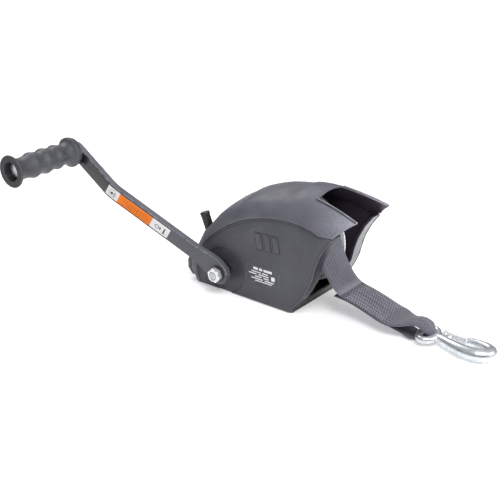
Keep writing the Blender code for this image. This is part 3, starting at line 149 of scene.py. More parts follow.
class Finish:
    """A node material on one Principled shader, with short names for the nodes it is made of."""

    def __init__(self, name, metallic=0.0, **constants):
        self.material = bpy.data.materials.new(name)
        self.material.use_nodes = True
        self.nodes = self.material.node_tree.nodes
        self.links = self.material.node_tree.links
        self.shader = self.nodes["Principled BSDF"]
        self.shader.inputs["Metallic"].default_value = metallic
        for socket, value in constants.items():
            self.shader.inputs[socket.replace("_", " ")].default_value = value
        self.place = self.nodes.new("ShaderNodeTexCoord").outputs["Object"]
        self.height = None

    def mapped(self, scale, turn=(0, 0, 0), place=None):
        node = self.nodes.new("ShaderNodeMapping")
        node.inputs["Rotation"].default_value = turn
        node.inputs["Scale"].default_value = scale
        self.links.new(place or self.place, node.inputs["Vector"])
        return node.outputs["Vector"]

    def from_shaft(self):
        """The place measured from the shaft, with y along the crank arm."""
        node = self.nodes.new("ShaderNodeVectorMath")
        node.operation = "SUBTRACT"
        node.inputs[1].default_value = (0.0, front(SHAFT[0]), SHAFT[1])
        self.links.new(self.place, node.inputs[0])
        return self.mapped((1, 1, 1), (-ARM_ANGLE, 0, 0), node.outputs[0])

    def noise(self, scale, detail=3.0, place=None):
        node = self.nodes.new("ShaderNodeTexNoise")
        node.inputs["Scale"].default_value = scale
        node.inputs["Detail"].default_value = detail
        self.links.new(place or self.place, node.inputs["Vector"])
        return node.outputs["Fac"]

    def cells(self, scale, place=None):
        node = self.nodes.new("ShaderNodeTexVoronoi")
        node.inputs["Scale"].default_value = scale
        self.links.new(place or self.place, node.inputs["Vector"])
        return node.outputs["Distance"]

    def axis(self, place, index):
        node = self.nodes.new("ShaderNodeSeparateXYZ")
        self.links.new(place, node.inputs[0])
        return node.outputs[index]

    def maths(self, operation, first, second=0.0, third=0.0):
        node = self.nodes.new("ShaderNodeMath")
        node.operation = operation
        for socket, value in zip(node.inputs, (first, second, third)):
            if isinstance(value, (int, float)):
                socket.default_value = value
            else:
                self.links.new(value, socket)
        return node.outputs[0]

    def times(self, first, *others):
        """The product of two or more values."""
        for other in others:
            first = self.maths("MULTIPLY", first, other)
        return first

    def length(self, first, second):
        """The length of the flat vector with these two parts."""
        squares = self.maths("ADD", self.times(first, first), self.times(second, second))
        return self.maths("SQRT", squares)

    def within(self, value, low, high):
        """1 where the value lies between low and high, and 0 elsewhere."""
        return self.times(self.maths("GREATER_THAN", value, low), self.maths("LESS_THAN", value, high))

    def spread(self, value, low, high, to_low=0.0, to_high=1.0):
        node = self.nodes.new("ShaderNodeMapRange")
        for socket, number in zip(node.inputs[1:5], (low, high, to_low, to_high)):
            socket.default_value = number
        self.links.new(value, node.inputs[0])
        return node.outputs[0]

    def ramp(self, value, stops, sharp=False):
        node = self.nodes.new("ShaderNodeValToRGB")
        node.color_ramp.interpolation = "CONSTANT" if sharp else "LINEAR"
        elements = node.color_ramp.elements
        while len(elements) < len(stops):
            elements.new(0.5)
        for element, (position, colour) in zip(elements, stops):
            element.position = position
            element.color = (*colour, 1.0)
        self.links.new(value, node.inputs[0])
        return node.outputs["Color"]

    def mix(self, share, first, second):
        node = self.nodes.new("ShaderNodeMix")
        node.data_type = "RGBA"
        sockets = (node.inputs[0], node.inputs[6], node.inputs[7])
        for socket, value in zip(sockets, (share, first, second)):
            if isinstance(value, (int, float)):
                socket.default_value = value
            elif isinstance(value, tuple):
                socket.default_value = (*value, 1.0)
            else:
                self.links.new(value, socket)
        return node.outputs[2]

    def worn(self, radius):
        """1 on convex edges and 0 on flat faces, broken up by noise."""
        bevel = self.nodes.new("ShaderNodeBevel")
        bevel.samples = 4
        bevel.inputs["Radius"].default_value = radius
        normal = self.nodes.new("ShaderNodeNewGeometry").outputs["Normal"]
        dot = self.nodes.new("ShaderNodeVectorMath")
        dot.operation = "DOT_PRODUCT"
        self.links.new(bevel.outputs[0], dot.inputs[0])
        self.links.new(normal, dot.inputs[1])
        edge = self.spread(self.maths("SUBTRACT", 1.0, dot.outputs["Value"]), 0.02, 0.16)
        return self.times(edge, self.spread(self.noise(180.0, 4.0), 0.35, 0.6))

    def colour(self, value):
        self.links.new(value, self.shader.inputs["Base Color"])

    def rough(self, value, low, high):
        self.links.new(self.spread(value, 0.3, 0.7, low, high), self.shader.inputs["Roughness"])

    def bump(self, height, distance, strength=1.0):
        node = self.nodes.new("ShaderNodeBump")
        node.inputs["Strength"].default_value = strength
        node.inputs["Distance"].default_value = distance
        self.links.new(height, node.inputs["Height"])
        if self.height is not None:
            self.links.new(self.height, node.inputs["Normal"])
        self.height = node.outputs["Normal"]
        self.links.new(self.height, self.shader.inputs["Normal"])


def grey(value, tint=(0, 0, 0)):
    """A linear colour from a display grey of 0 to 255, with a small tint."""
    return tuple(((value + t) / 255) ** 2.2 for t in tint)


def brighter(colour, factor, lift):
    return tuple(min(1.0, c * factor + lift) for c in colour)


def moulded(name, dark, light, grain=900.0, depth=0.00012, low=0.42, high=0.58, painted_recess_shade=False, painted_lobe_sheen=False):
    """Moulded plastic: a fine leather grain, slow blotches, and rubbed edges. With painted_recess_shade it
    gets painted shade, darker round the shaft, and with painted_lobe_sheen a painted sheen, paler towards the
    front lobes."""
    finish = Finish(name)
    blotch = finish.noise(28.0, 4.0)
    speck = finish.noise(grain * 0.9, 2.0)
    base = finish.ramp(blotch, [(0.3, dark), (0.7, light)])
    # Painted sheen: paler towards the front lobes and near the top, broken up by the grain
    if painted_lobe_sheen:
        forward = finish.spread(finish.axis(finish.place, 1), front(-0.015), front(-0.072))
        upper = finish.spread(finish.axis(finish.place, 2), 0.108, 0.128)
        grainy = finish.spread(finish.noise(grain * 0.6, 3.0), 0.35, 0.6, 0.55, 1.0)
        base = finish.mix(finish.times(forward, upper, grainy), base, grey(146, (0, 0, 12)))
    # Painted shade of the arm in the recess round the shaft, and a darker painted shade line inside its rim
    if painted_recess_shade:
        aside = finish.maths("SUBTRACT", finish.axis(finish.place, 1), front(SHAFT[0]))
        above = finish.maths("SUBTRACT", finish.axis(finish.place, 2), SHAFT[1])
        away = finish.length(aside, above)
        inside = finish.spread(away, RECESS_RADIUS + SOFT_EDGE, RECESS_RADIUS)
        line = finish.times(inside, finish.spread(away, RECESS_SHADE_LINE - 1.5 * SOFT_EDGE, RECESS_SHADE_LINE))
        base = finish.mix(finish.times(inside, 0.3), base, tuple(0.45 * c for c in dark))
        base = finish.mix(finish.times(line, 0.4), base, grey(22))
    fleck = finish.spread(speck, 0.62, 0.74, 0.0, 0.35)
    rubbed = finish.mix(finish.worn(0.0008), base, brighter(light, 2.4, 0.02))
    finish.colour(finish.mix(fleck, rubbed, brighter(light, 1.9, 0.01)))
    finish.rough(finish.noise(60.0, 3.0), low, high)
    finish.bump(finish.cells(grain), depth, 0.55)
    finish.bump(finish.noise(grain * 2.2, 2.0), depth * 0.5, 0.4)
    return finish.material


def coated(name, dark, light, edge, low=0.28, high=0.48, far=None):
    """Painted or powder-coated steel: orange peel, dust in patches, and paint rubbed off along the edges.
    With far, it turns to that colour beyond the crank arm's outer bend."""
    finish = Finish(name, Coat_Weight=0.25)
    base = finish.ramp(finish.noise(22.0, 5.0), [(0.3, dark), (0.7, light)])
    if far:
        along = finish.axis(finish.from_shaft(), 1)
        base = finish.mix(finish.spread(along, *PAINT_CHANGE), base, far)
    finish.colour(finish.mix(finish.worn(0.0007), base, edge))
    finish.rough(finish.noise(45.0, 4.0), low, high)
    finish.bump(finish.noise(420.0, 2.0), 0.00012, 0.35)
    finish.bump(finish.noise(2600.0, 2.0), 0.00003, 0.4)
    return finish.material


def plated(name, dark, light, low=0.2, high=0.36, spangle=70.0, metallic=1.0, streak=(1, 1, 1)):
    """Zinc plate or bare machined steel: cloudy patches, fine tool streaks, and a soft shine."""
    finish = Finish(name, metallic=metallic)
    place = finish.mapped(streak)
    cloud = finish.noise(spangle, 5.0, place)
    base = finish.ramp(cloud, [(0.28, dark), (0.72, light)])
    speck = finish.spread(finish.noise(900.0, 2.0, place), 0.55, 0.75, 0.0, 0.3)
    finish.colour(finish.mix(speck, base, light))
    finish.rough(finish.noise(120.0, 4.0, place), low, high)
    finish.bump(finish.noise(700.0, 3.0, place), 0.00005, 0.35)
    return finish.material


PLASTIC = moulded("cover_plastic_moulded", grey(75, (0, 0, 7)), grey(92, (0, 0, 10)), painted_lobe_sheen=True)
SIDE_TONES = (grey(62, (0, 0, 7)), grey(73, (0, 0, 9)))
# The near cover's plastic carries the painted shade round the shaft
SIDE_PLASTIC = moulded("cover_plastic_side", *SIDE_TONES, painted_recess_shade=True)
FAR_PLASTIC = moulded("cover_plastic_far_side", *SIDE_TONES)
# Painted shade: a darker copy of the plastic for faces that look inwards
INNER_SHADE = moulded("cover_plastic_inner_shade", grey(44, (3, -6, 6)), grey(58, (3, -5, 7)), 700.0, 0.00006)
# Painted shade for the near cover's front wall, and a painted highlight for the far cover's front wall and
# the lobe rims
WALL_SHADE = moulded("cover_wall_shaded", grey(30, (0, 0, 8)), grey(40, (0, 0, 9)))
WALL_HIGHLIGHT = moulded("cover_wall_highlight", grey(128, (0, 2, 5)), grey(156, (0, 2, 4)))
# Dark seams and grooves between the parts; also the painted shadow round the embossed mark
SEAM_AND_SHADOW_DARK = moulded("seam_dark_and_painted_shadow", grey(24, (0, 0, 3)), grey(34, (0, 0, 4)), 600.0, 0.00004)
NYLON = moulded("nylon_natural", grey(205, (4, 2, -8)), grey(226, (4, 2, -6)), 500.0, 0.00004, 0.35, 0.5)
RUBBER = moulded("grip_rubber_soft", grey(62, (0, 1, 5)), grey(74, (0, 1, 7)), 1100.0, 0.00008, 0.4, 0.55)
RUBBER_END = moulded("grip_rubber_end", grey(34, (0, 1, 3)), grey(42, (0, 1, 4)), 1100.0, 0.00008,
                     0.45, 0.6)
LEVER = moulded("lever_plastic_black", grey(38, (0, 0, 3)), grey(52, (0, 0, 4)), 1000.0, 0.00006, 0.35, 0.5)
PRINT = moulded("print_white", grey(208), grey(236), 800.0, 0.00003, 0.5, 0.65)

BLACK = coated("black_powder_coat", grey(24, (0, 0, 2)), grey(34, (0, 0, 2)), grey(96, (2, 0, -4)))
RUBBED_PAINT = grey(150, (0, 2, 5))
ARM_PAINT = coated("arm_grey_paint", grey(64, (0, 0, 6)), grey(76, (0, 1, 8)), RUBBED_PAINT, 0.3, 0.5,
                   far=grey(34, (0, 0, 7)))
# Painted light: a lighter copy of the arm's paint for its top faces, which face the light from above
ARM_TOP_PAINTED_LIGHT = coated("arm_grey_paint_lit", grey(86, (0, 1, 9)), grey(98, (0, 1, 10)), RUBBED_PAINT, 0.3, 0.45)

ZINC = plated("zinc_bright", grey(226, (0, 2, 4)), grey(250, (-2, 0, 3)), metallic=0.55)
FORGED = plated("zinc_forged", grey(192, (-4, 2, 6)), grey(234, (-4, 0, 4)), 0.22, 0.36, 55.0, 0.85)
STEEL = plated("machined_steel", grey(150, (0, 2, 4)), grey(196, (0, 1, 3)), 0.26, 0.42, 90.0,
               streak=(0.12, 1, 1))
THREAD = plated("stitch_thread", grey(146, (0, 0, 10)), grey(178, (0, 0, 10)), 0.6, 0.8, 300.0, 0.0)


def lip_coat():
    """The base plate: black, with a painted brown-grey highlight up the front lip, broken up in patches."""
    finish = Finish("base_powder_coat", Coat_Weight=0.2)
    up = finish.axis(finish.place, 2)
    # Painted highlight: paler brown-grey up the front lip, broken up by noise
    dust = finish.times(finish.spread(up, 0.0042, 0.0066), finish.spread(finish.noise(60.0), 0.2, 0.5))
    base = finish.ramp(finish.noise(25.0, 5.0), [(0.3, grey(20)), (0.7, grey(32))])
    lip_highlighted = finish.mix(finish.times(dust, 0.85), base, grey(96, (6, 2, -6)))
    finish.colour(finish.mix(finish.worn(0.0008), lip_highlighted, grey(120, (6, 2, -4))))
    finish.rough(finish.noise(45.0, 4.0), 0.35, 0.55)
    finish.bump(finish.noise(420.0, 2.0), 0.00012, 0.35)
    return finish.material


BASE_COAT = lip_coat()


def label_vinyl():
    """Three printed fields along the arm, each with a plain round or square mark and no lettering."""
    finish = Finish("label_three_fields", Specular_IOR_Level=0.25)
    turned_place = finish.from_shaft()
    along = finish.axis(turned_place, 1)
    across = finish.axis(turned_place, 2)
    white, orange, ink = grey(218), (0.77, 0.175, 0.0002), grey(30)
    share = finish.spread(along, *LABEL_ENDS)
    fields = finish.ramp(share, [(0.0, white), (0.275, orange), (0.80, white)], True)

    def ring(centre, radius, inner):
        away = finish.length(finish.maths("SUBTRACT", along, centre), across)
        return finish.within(away, inner, radius)

    def bar(low, high, half):
        inside = finish.within(along, low, high)
        return finish.times(inside, finish.maths("LESS_THAN", finish.maths("ABSOLUTE", across), half))

    def dashes(low, high, level, half, pitch):
        """A broken line along the arm, at a level across it."""
        aside = finish.maths("ABSOLUTE", finish.maths("SUBTRACT", across, level))
        broken = finish.maths("LESS_THAN", finish.maths("PINGPONG", along, pitch), pitch * 0.72)
        return finish.times(finish.maths("LESS_THAN", aside, half), broken, finish.within(along, low, high))

    faint_ring = finish.times(ring(0.1645, 0.0056, 0.0049), 0.6)
    marks = [
        faint_ring,
        ring(0.1655, 0.0020, 0.0),
        bar(0.1610, 0.1622, 0.0026),
        ring(0.0960, 0.0030, 0.0021),
        bar(0.0905, 0.0922, 0.0020),
        bar(0.0845, 0.0862, 0.0042),
        dashes(0.083, 0.090, -0.0040, 0.0006, 0.01),
        # Darkens the label along the arm's lower edge
        finish.maths("LESS_THAN", across, -0.0070),
    ]
    for low, high, level in ((0.110, 0.148, -0.0044), (0.108, 0.142, -0.0022),
                             (0.108, 0.150, 0.0004), (0.112, 0.146, 0.0030)):
        marks.append(finish.times(dashes(low, high, level, 0.0005, 0.0021), 0.5))
    inked = marks[0]
    for mark in marks[1:]:
        inked = finish.maths("MAXIMUM", inked, mark)
    scuffed = finish.times(inked, finish.spread(finish.noise(500.0), 0.25, 0.4, 0.6, 1.0))
    dirt = finish.spread(finish.noise(60.0, 5.0), 0.45, 0.8, 0.0, 0.10)
    finish.colour(finish.mix(dirt, finish.mix(scuffed, fields, ink), grey(120)))
    finish.rough(finish.noise(80.0, 4.0), 0.3, 0.45)
    finish.bump(finish.noise(350.0, 3.0), 0.00004, 0.4)
    return finish.material


LABEL = label_vinyl()


def webbing(name, dark, light, stitched=None):
    """Woven webbing: lengthwise ribs, a chevron weave in between, and dust. The layer "weave" is in metres.
    stitched is where along it the sewn stretch starts and ends. There it has painted shade in dashes where
    the stitches press the weave and painted highlight between them, with a painted shadow in a creased line
    and a painted highlight on a folded band at its start."""
    finish = Finish(name, Sheen_Weight=0.35)
    node = finish.nodes.new("ShaderNodeUVMap")
    node.uv_map = "weave"
    across = finish.axis(node.outputs[0], 0)
    along = finish.axis(node.outputs[0], 1)

    def wave(place, pitch):
        return finish.maths("SINE", finish.times(place, 2 * pi / pitch))

    rib = wave(across, RIB_PITCH)
    chevron = wave(finish.maths("ADD", along, finish.maths("PINGPONG", across, RIB_PITCH)), CHEVRON_PITCH)
    thread = finish.maths("ADD", finish.times(rib, 0.55), finish.times(chevron, 0.45))
    fuzz = finish.noise(900.0, 4.0)
    woven = finish.ramp(finish.spread(thread, -1.0, 1.0), [(0.12, dark), (0.85, light)])
    cloud = finish.spread(finish.noise(40.0, 4.0), 0.35, 0.75, 0.0, 0.35)
    woven = finish.mix(cloud, woven, dark)
    if stitched:
        start, end = stitched
        column = finish.maths("FLOOR", finish.maths("DIVIDE", across, RIB_PITCH))
        dash = wave(finish.maths("ADD", along, finish.times(column, DASH_STAGGER)), DASH_PITCH)
        ragged = finish.maths("ADD", dash, finish.spread(finish.noise(700.0, 2.0), 0.3, 0.7, -0.7, 0.7))
        zone = finish.times(finish.spread(along, start, start + 0.002),
                            finish.spread(along, end, end - 0.004))
        pressed_shade = finish.times(zone, finish.spread(ragged, -0.1, 0.5))
        standing_highlight = finish.times(zone, finish.spread(ragged, -0.3, -0.9))
        fold_highlight = finish.times(finish.spread(along, start - 0.011, start - 0.003),
                            finish.spread(along, start, start - 0.002))
        crease_shadow = finish.times(finish.spread(along, start - 0.001, start + 0.0005),
                              finish.spread(along, start + 0.007, start + 0.001))
        # Painted shade and highlight of the sewn relief: dark dashes and a creased line, light weave between
        # and a folded band
        for place, strength, tone in (
                (pressed_shade, 0.62, grey(30, (2, 0, 8))), (standing_highlight, 0.5, grey(150, (2, 0, 12))),
                (fold_highlight, 0.3, grey(170, (2, 0, 12))), (crease_shadow, 0.4, grey(34, (2, 0, 8)))):
            woven = finish.mix(finish.times(place, strength), woven, tone)
    finish.colour(woven)
    finish.rough(fuzz, 0.72, 0.9)
    finish.bump(thread, 0.00022, 0.8)
    finish.bump(fuzz, 0.00006, 0.5)
    return finish.material


WEBBING_WOUND = webbing("webbing_wound", grey(40, (2, 0, 8)), grey(112, (2, 0, 12)))
WEBBING_SHADE = webbing("webbing_shaded", grey(16, (1, 0, 3)), grey(40, (1, 0, 5)))


# ---------------------------------------------------------------- pieces

def add(piece, finish, body, slot, *nodes):
    """Gives the piece its finish, the body that it rides on, and the CAD nodes that it replaces. slot is not
    used.
    """
    piece.data.materials.clear()
    piece.data.materials.append(finish)
    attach(piece, body)
    if nodes:
        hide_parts(*nodes)
    return piece


def plain_copy(node, name):
    """The node's shape as a new welded mesh, without the split normals of the original."""
    source = NODES[node].data
    mesh = bpy.data.meshes.new(name)
    mesh.from_pydata([v.co for v in source.vertices], [], [list(p.vertices) for p in source.polygons])
    shape = bmesh.new()
    shape.from_mesh(mesh)
    bpy.data.meshes.remove(mesh)
    bmesh.ops.remove_doubles(shape, verts=shape.verts, dist=0.00001)
    bmesh.ops.dissolve_limit(shape, angle_limit=radians(0.6), verts=shape.verts, edges=shape.edges)
    bmesh.ops.dissolve_degenerate(shape, dist=0.00003, edges=shape.edges)
    bmesh.ops.recalc_face_normals(shape, faces=shape.faces)
    return linked_shape(name, shape)


def soften(node, name, width, segments, angle):
    """The node with every edge sharper than the angle rounded."""
    piece = plain_copy(node, name)
    bevel = piece.modifiers.new("round", "BEVEL")
    bevel.width = width
    bevel.segments = segments
    bevel.limit_method = "ANGLE"
    bevel.angle_limit = radians(angle)
    bevel.use_clamp_overlap = False
    bevel.miter_outer = "MITER_ARC"
    return smooth(bake(piece), angle)


def remeshed(node, name, voxel, smoothing):
    """The node as a forging: rebuilt on a fine grid, with its edges melted."""
    piece = plain_copy(node, name)
    grid = piece.modifiers.new("grid", "REMESH")
    grid.mode = "VOXEL"
    grid.voxel_size = voxel
    melt = piece.modifiers.new("melt", "SMOOTH")
    melt.iterations = smoothing
    melt.factor = 0.5
    return smooth(bake(piece), 180)


def tube(name, points, radius, closed=False):
    """A bead or wire along the points, as a mesh."""
    curve = bpy.data.curves.new(name, "CURVE")
    curve.dimensions = "3D"
    curve.bevel_depth = radius
    curve.bevel_resolution = 2
    curve.use_fill_caps = True
    spline = curve.splines.new("NURBS")
    spline.points.add(len(points) - 1)
    for target, point in zip(spline.points, points):
        target.co = (*point, 1.0)
    spline.order_u = 3
    spline.use_endpoint_u = not closed
    spline.use_cyclic_u = closed
    spline.resolution_u = 4
    holder = linked(name + "_curve", curve)
    bpy.context.view_layer.update()
    mesh = bpy.data.meshes.new_from_object(holder.evaluated_get(bpy.context.evaluated_depsgraph_get()))
    bpy.data.objects.remove(holder)
    return smooth(linked(name, mesh), 50)


def revolved(name, profile, centre, segments=96):
    """A closed turned shape about an axis along x; profile points are (x, radius)."""
    shape = bmesh.new()
    rings = []
    for x, radius in profile:
        angles = [2 * pi * k / segments for k in range(segments)]
        rings.append([shape.verts.new((x, centre[0] + radius * cos(angle), centre[1] + radius * sin(angle)))
                      for angle in angles])
    for ring, following in zip(rings, rings[1:] + rings[:1]):
        for k in range(segments):
            n = (k + 1) % segments
            shape.faces.new((ring[k], ring[n], following[n], following[k]))
    bmesh.ops.recalc_face_normals(shape, faces=shape.faces)
    return linked_shape(name, shape)


def spline_through(points, steps):
    """A Catmull-Rom curve through the points."""
    curve = []
    for i in range(len(points) - 1):
        a = Vector(points[max(i - 1, 0)])
        b = Vector(points[i])
        c = Vector(points[i + 1])
        d = Vector(points[min(i + 2, len(points) - 1)])
        for k in range(steps):
            t = k / steps
            curve.append(0.5 * ((2 * b) + (c - a) * t + (2 * a - 5 * b + 4 * c - d) * t * t
                                + (3 * b - 3 * c + d - a) * t * t * t))
    curve.append(Vector(points[-1]))
    return curve


def ease(share):
    share = min(1.0, max(0.0, share))
    return share * share * (3 - 2 * share)


def paint(piece, finish, chosen):
    """Gives the chosen faces a second finish; chosen is asked with each face's centre and normal."""
    piece.data.materials.append(finish)
    index = len(piece.data.materials) - 1
    for polygon in piece.data.polygons:
        if chosen(polygon.center, polygon.normal):
            polygon.material_index = index


# Hood and covers. Faces that look inwards get painted shade, and the covers' front walls get painted shade on
# the near cover and a painted highlight on the far one.
HOOD_CORE_HEIGHT = 0.06
hood = add(soften("hood_cover", "hood", 0.0009, 3, 24), PLASTIC, "frame", "cover_plastic", "hood_cover")
paint(hood, INNER_SHADE, lambda c, n: n.dot(Vector((c.x, 0, c.z - HOOD_CORE_HEIGHT)).normalized()) < -0.35)
for side, name, plastic, painted_wall in (
        (-1, "left", SIDE_PLASTIC, WALL_SHADE), (1, "right", FAR_PLASTIC, WALL_HIGHLIGHT)):
    node = name + "_side_cover"
    cover = add(soften(node, name + "_cover", 0.0007, 2, 30), plastic, "frame", "cover_plastic", node)
    paint(cover, painted_wall, lambda c, n: n.y < -0.4 and abs(n.x) < 0.6 and c.y < front(0.012))
    paint(cover, INNER_SHADE, lambda c, n: n.x * side < -0.35)

# CAD parts whose edges are rounded: node, piece, radius, segments, angle, finish, body and slot
ROUNDED = (
    ("base_plate", "base", 0.0008, 2, 40, BASE_COAT, "frame", "black_steel"),
    ("left_side_plate", "left_plate", 0.0006, 2, 40, BLACK, "frame", "black_steel"),
    ("right_side_plate", "right_plate", 0.0006, 2, 40, BLACK, "frame", "black_steel"),
    ("crank_arm", "arm", 0.0009, 3, 32, ARM_PAINT, "crank", "grey_steel"),
    ("arm_lock_nut", "lock_nut", 0.0005, 2, 32, ZINC, "crank", "zinc_plate"),
    ("arm_washer", "washer", 0.0003, 2, 32, BLACK, "crank", "black_steel"),
    ("grip_pin", "pin", 0.0005, 2, 32, STEEL, "crank", "zinc_plate"),
    ("hook_latch", "latch_plate", 0.0003, 2, 32, ZINC, "latch", "zinc_plate"),
    ("latch_rivet", "rivet", 0.0003, 2, 32, ZINC, "hook", "zinc_plate"),
    ("lever_sleeve", "sleeve", 0.0008, 3, 32, LEVER, "pawl", "lever_plastic"),
    ("ratchet_pawl", "pawl_lever", 0.0003, 2, 32, BLACK, "pawl", "black_steel"),
    ("left_flange", "left_flange_disc", 0.0003, 2, 40, ZINC, "drum", "zinc_plate"),
    ("right_flange", "right_flange_disc", 0.0003, 2, 40, ZINC, "drum", "zinc_plate"),
)
rounded = {}
for node, name, width, segments, angle, finish, body, slot in ROUNDED:
    rounded[name] = add(soften(node, name, width, segments, angle), finish, body, slot, node)
# Painted light: the arm's faces that look up get the lighter copy of its paint
ARM_UP = Vector((0, -sin(ARM_ANGLE), cos(ARM_ANGLE)))
paint(rounded["arm"], ARM_TOP_PAINTED_LIGHT, lambda c, n: n.dot(ARM_UP) > 0.45)
add(remeshed("snap_hook", "hook_forging", 0.0006, 16), FORGED, "hook", "zinc_plate", "snap_hook")

# The grip
grip_low, grip_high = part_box("hand_grip")
GRIP_CENTRE = ((grip_low.y + grip_high.y) / 2, (grip_low.z + grip_high.z) / 2)
GRIP_FLANGE = 0.0115  # the outer flange's length


def grip_profile():
    """The rubber grip: a collar, swells for the fingers, and an end flange with a deep bore."""
    outside = [
        (0, 0.0160), (0.0012, 0.0176), (0.004, 0.0189), (0.008, 0.0197), (0.0095, 0.0195), (0.0108, 0.0184),
        (0.0122, 0.0166), (0.0145, 0.0149), (0.0175, 0.0137), (0.021, 0.0133), (0.026, 0.0140),
        (0.0305, 0.0156), (0.0325, 0.0161), (0.0345, 0.0158), (0.0375, 0.0145), (0.0405, 0.0142),
        (0.0455, 0.0148), (0.0505, 0.0163), (0.0525, 0.0166), (0.0545, 0.0162), (0.0575, 0.0148),
        (0.0605, 0.0144), (0.0660, 0.0150), (0.0705, 0.0163), (0.0725, 0.0166), (0.0745, 0.0162),
        (0.0780, 0.0147), (0.0815, 0.0141), (0.0870, 0.0136), (0.092, 0.0138), (0.0955, 0.0145),
        (0.0985, 0.0162), (0.1008, 0.0186), (0.1022, 0.0203), (0.1033, 0.0208), (0.1043, 0.0207),
        (0.105, 0.0202)]
    bore = [
        (0.105, 0.0126), (0.1044, 0.0121), (0.1030, 0.0119), (0.0965, 0.0114), (0.0960, 0.0110),
        (0.0960, 0.0068), (0.0956, 0.0065), (0.0005, 0.0065), (0, 0.0070)]
    stretch = grip_high.x - grip_low.x
    return [(grip_high.x - along * stretch / GRIP_LENGTH, radius) for along, radius in outside + bore]


def end_or_bore(centre, normal):
    """True for the grip's end face, and for the shaded inside of its bore."""
    outward = Vector((0, centre.y - GRIP_CENTRE[0], centre.z - GRIP_CENTRE[1]))
    return centre.x < grip_low.x + GRIP_FLANGE and (normal.x < -0.75 or normal.dot(outward) < 0)


grip = add(smooth(revolved("grip", grip_profile(), GRIP_CENTRE), 50), RUBBER, "grip", "grip_rubber",
           "hand_grip")
paint(grip, RUBBER_END, end_or_bore)


# Strap
def strap_path():
    """The strap's line: off the winding, down to the hook's eye, round its bar, and back below.
    It gives the run down to the start of the tail, and the whole line with the tail."""
    wound = WINDING_RADIUS + STRAP_GAP + STRAP_THICKNESS / 2
    leave = [(DRUM[0] + wound * cos(radians(angle)), DRUM[1] + wound * sin(radians(angle)))
             for angle in (150, 158, 166)]
    down = [(-0.0190, 0.0745), (-0.0232, 0.0650), (-0.0300, 0.0532), (-0.0378, 0.0415), (-0.0462, 0.0332)]
    down += [(-0.0560, 0.0288), (-0.0720, 0.0258), (-0.0900, 0.0222), (-0.1120, 0.0180), (-0.1300, 0.0168)]
    over = [(-0.1440, 0.0196), (-0.1560, 0.0211), (-0.1646, 0.0182), (-0.1685, 0.0128), (-0.1674, 0.0068)]
    back = [(-0.1610, 0.0024), (-0.1500, 0.0022), (-0.1400, 0.0042), (-0.1310, 0.0084), (-0.1235, 0.0128)]
    path = spline_through([(0, front(y), z) for y, z in leave + down + over + back], 8)
    below = []
    for before, point, after in zip(path, path[1:], path[2:]):
        if front(DOUBLED[0]) < point.y < front(DOUBLED[1]):
            direction = (after - before).normalized()
            drop = Vector((0, -direction.z, direction.y))
            below.append(point - drop * (STRAP_THICKNESS + 0.0005) * (1 if drop.z > 0 else -1))
    below.reverse()
    ends = [Vector((0, front(y), z)) for y, z in ((-0.0510, 0.0264), (-0.0430, 0.0266))]
    return path, path + below + ends


def even(points, step):
    """The same line with points an even distance apart."""
    result = [points[0].copy()]
    carried = 0.0
    for a, b in zip(points, points[1:]):
        length = (b - a).length
        done = step - carried
        while done <= length:
            result.append(a.lerp(b, done / length))
            done += step
        carried = length - (done - step)
    result.append(points[-1].copy())
    return result


def eased_past(y, start, end):
    """0 before start and 1 beyond end, both as distances from the front edge."""
    return ease((front(start) - y) / (front(start) - front(end)))


def half_width(point, above):
    """Half the strap's width: it is bunched over the eye's bar, and narrower still through the eye."""
    if not above:
        share = eased_past(point.y, -0.113, -0.140)
        wide = STRAP_WIDTH / 2 * (1 - share) + LOWER_HALF_WIDTH * share
        share = eased_past(point.y, -0.148, -0.158)
        return wide * (1 - share) + GATHERED_HALF_WIDTH * share
    share = eased_past(point.y, -0.120, -0.152)
    wide = STRAP_WIDTH / 2 * (1 - share) + BUNCHED_HALF_WIDTH * share
    fallen = ease((0.0180 - point.z) / 0.0065) if point.y < front(-0.150) else 0.0
    return wide * (1 - fallen) + GATHERED_HALF_WIDTH * fallen


def drift(y):
    """How far the strap's middle lies aside, growing towards the loop."""
    return LOOP_X * eased_past(y, -0.060, LOOP_Y)


def edge_roundness(share, start):
    """1 across the strap, falling to 0 at its edge from the start of the rounding on."""
    return sqrt(max(0.0, 1 - max(0.0, (abs(share) - start) / (1 - start)) ** 2))


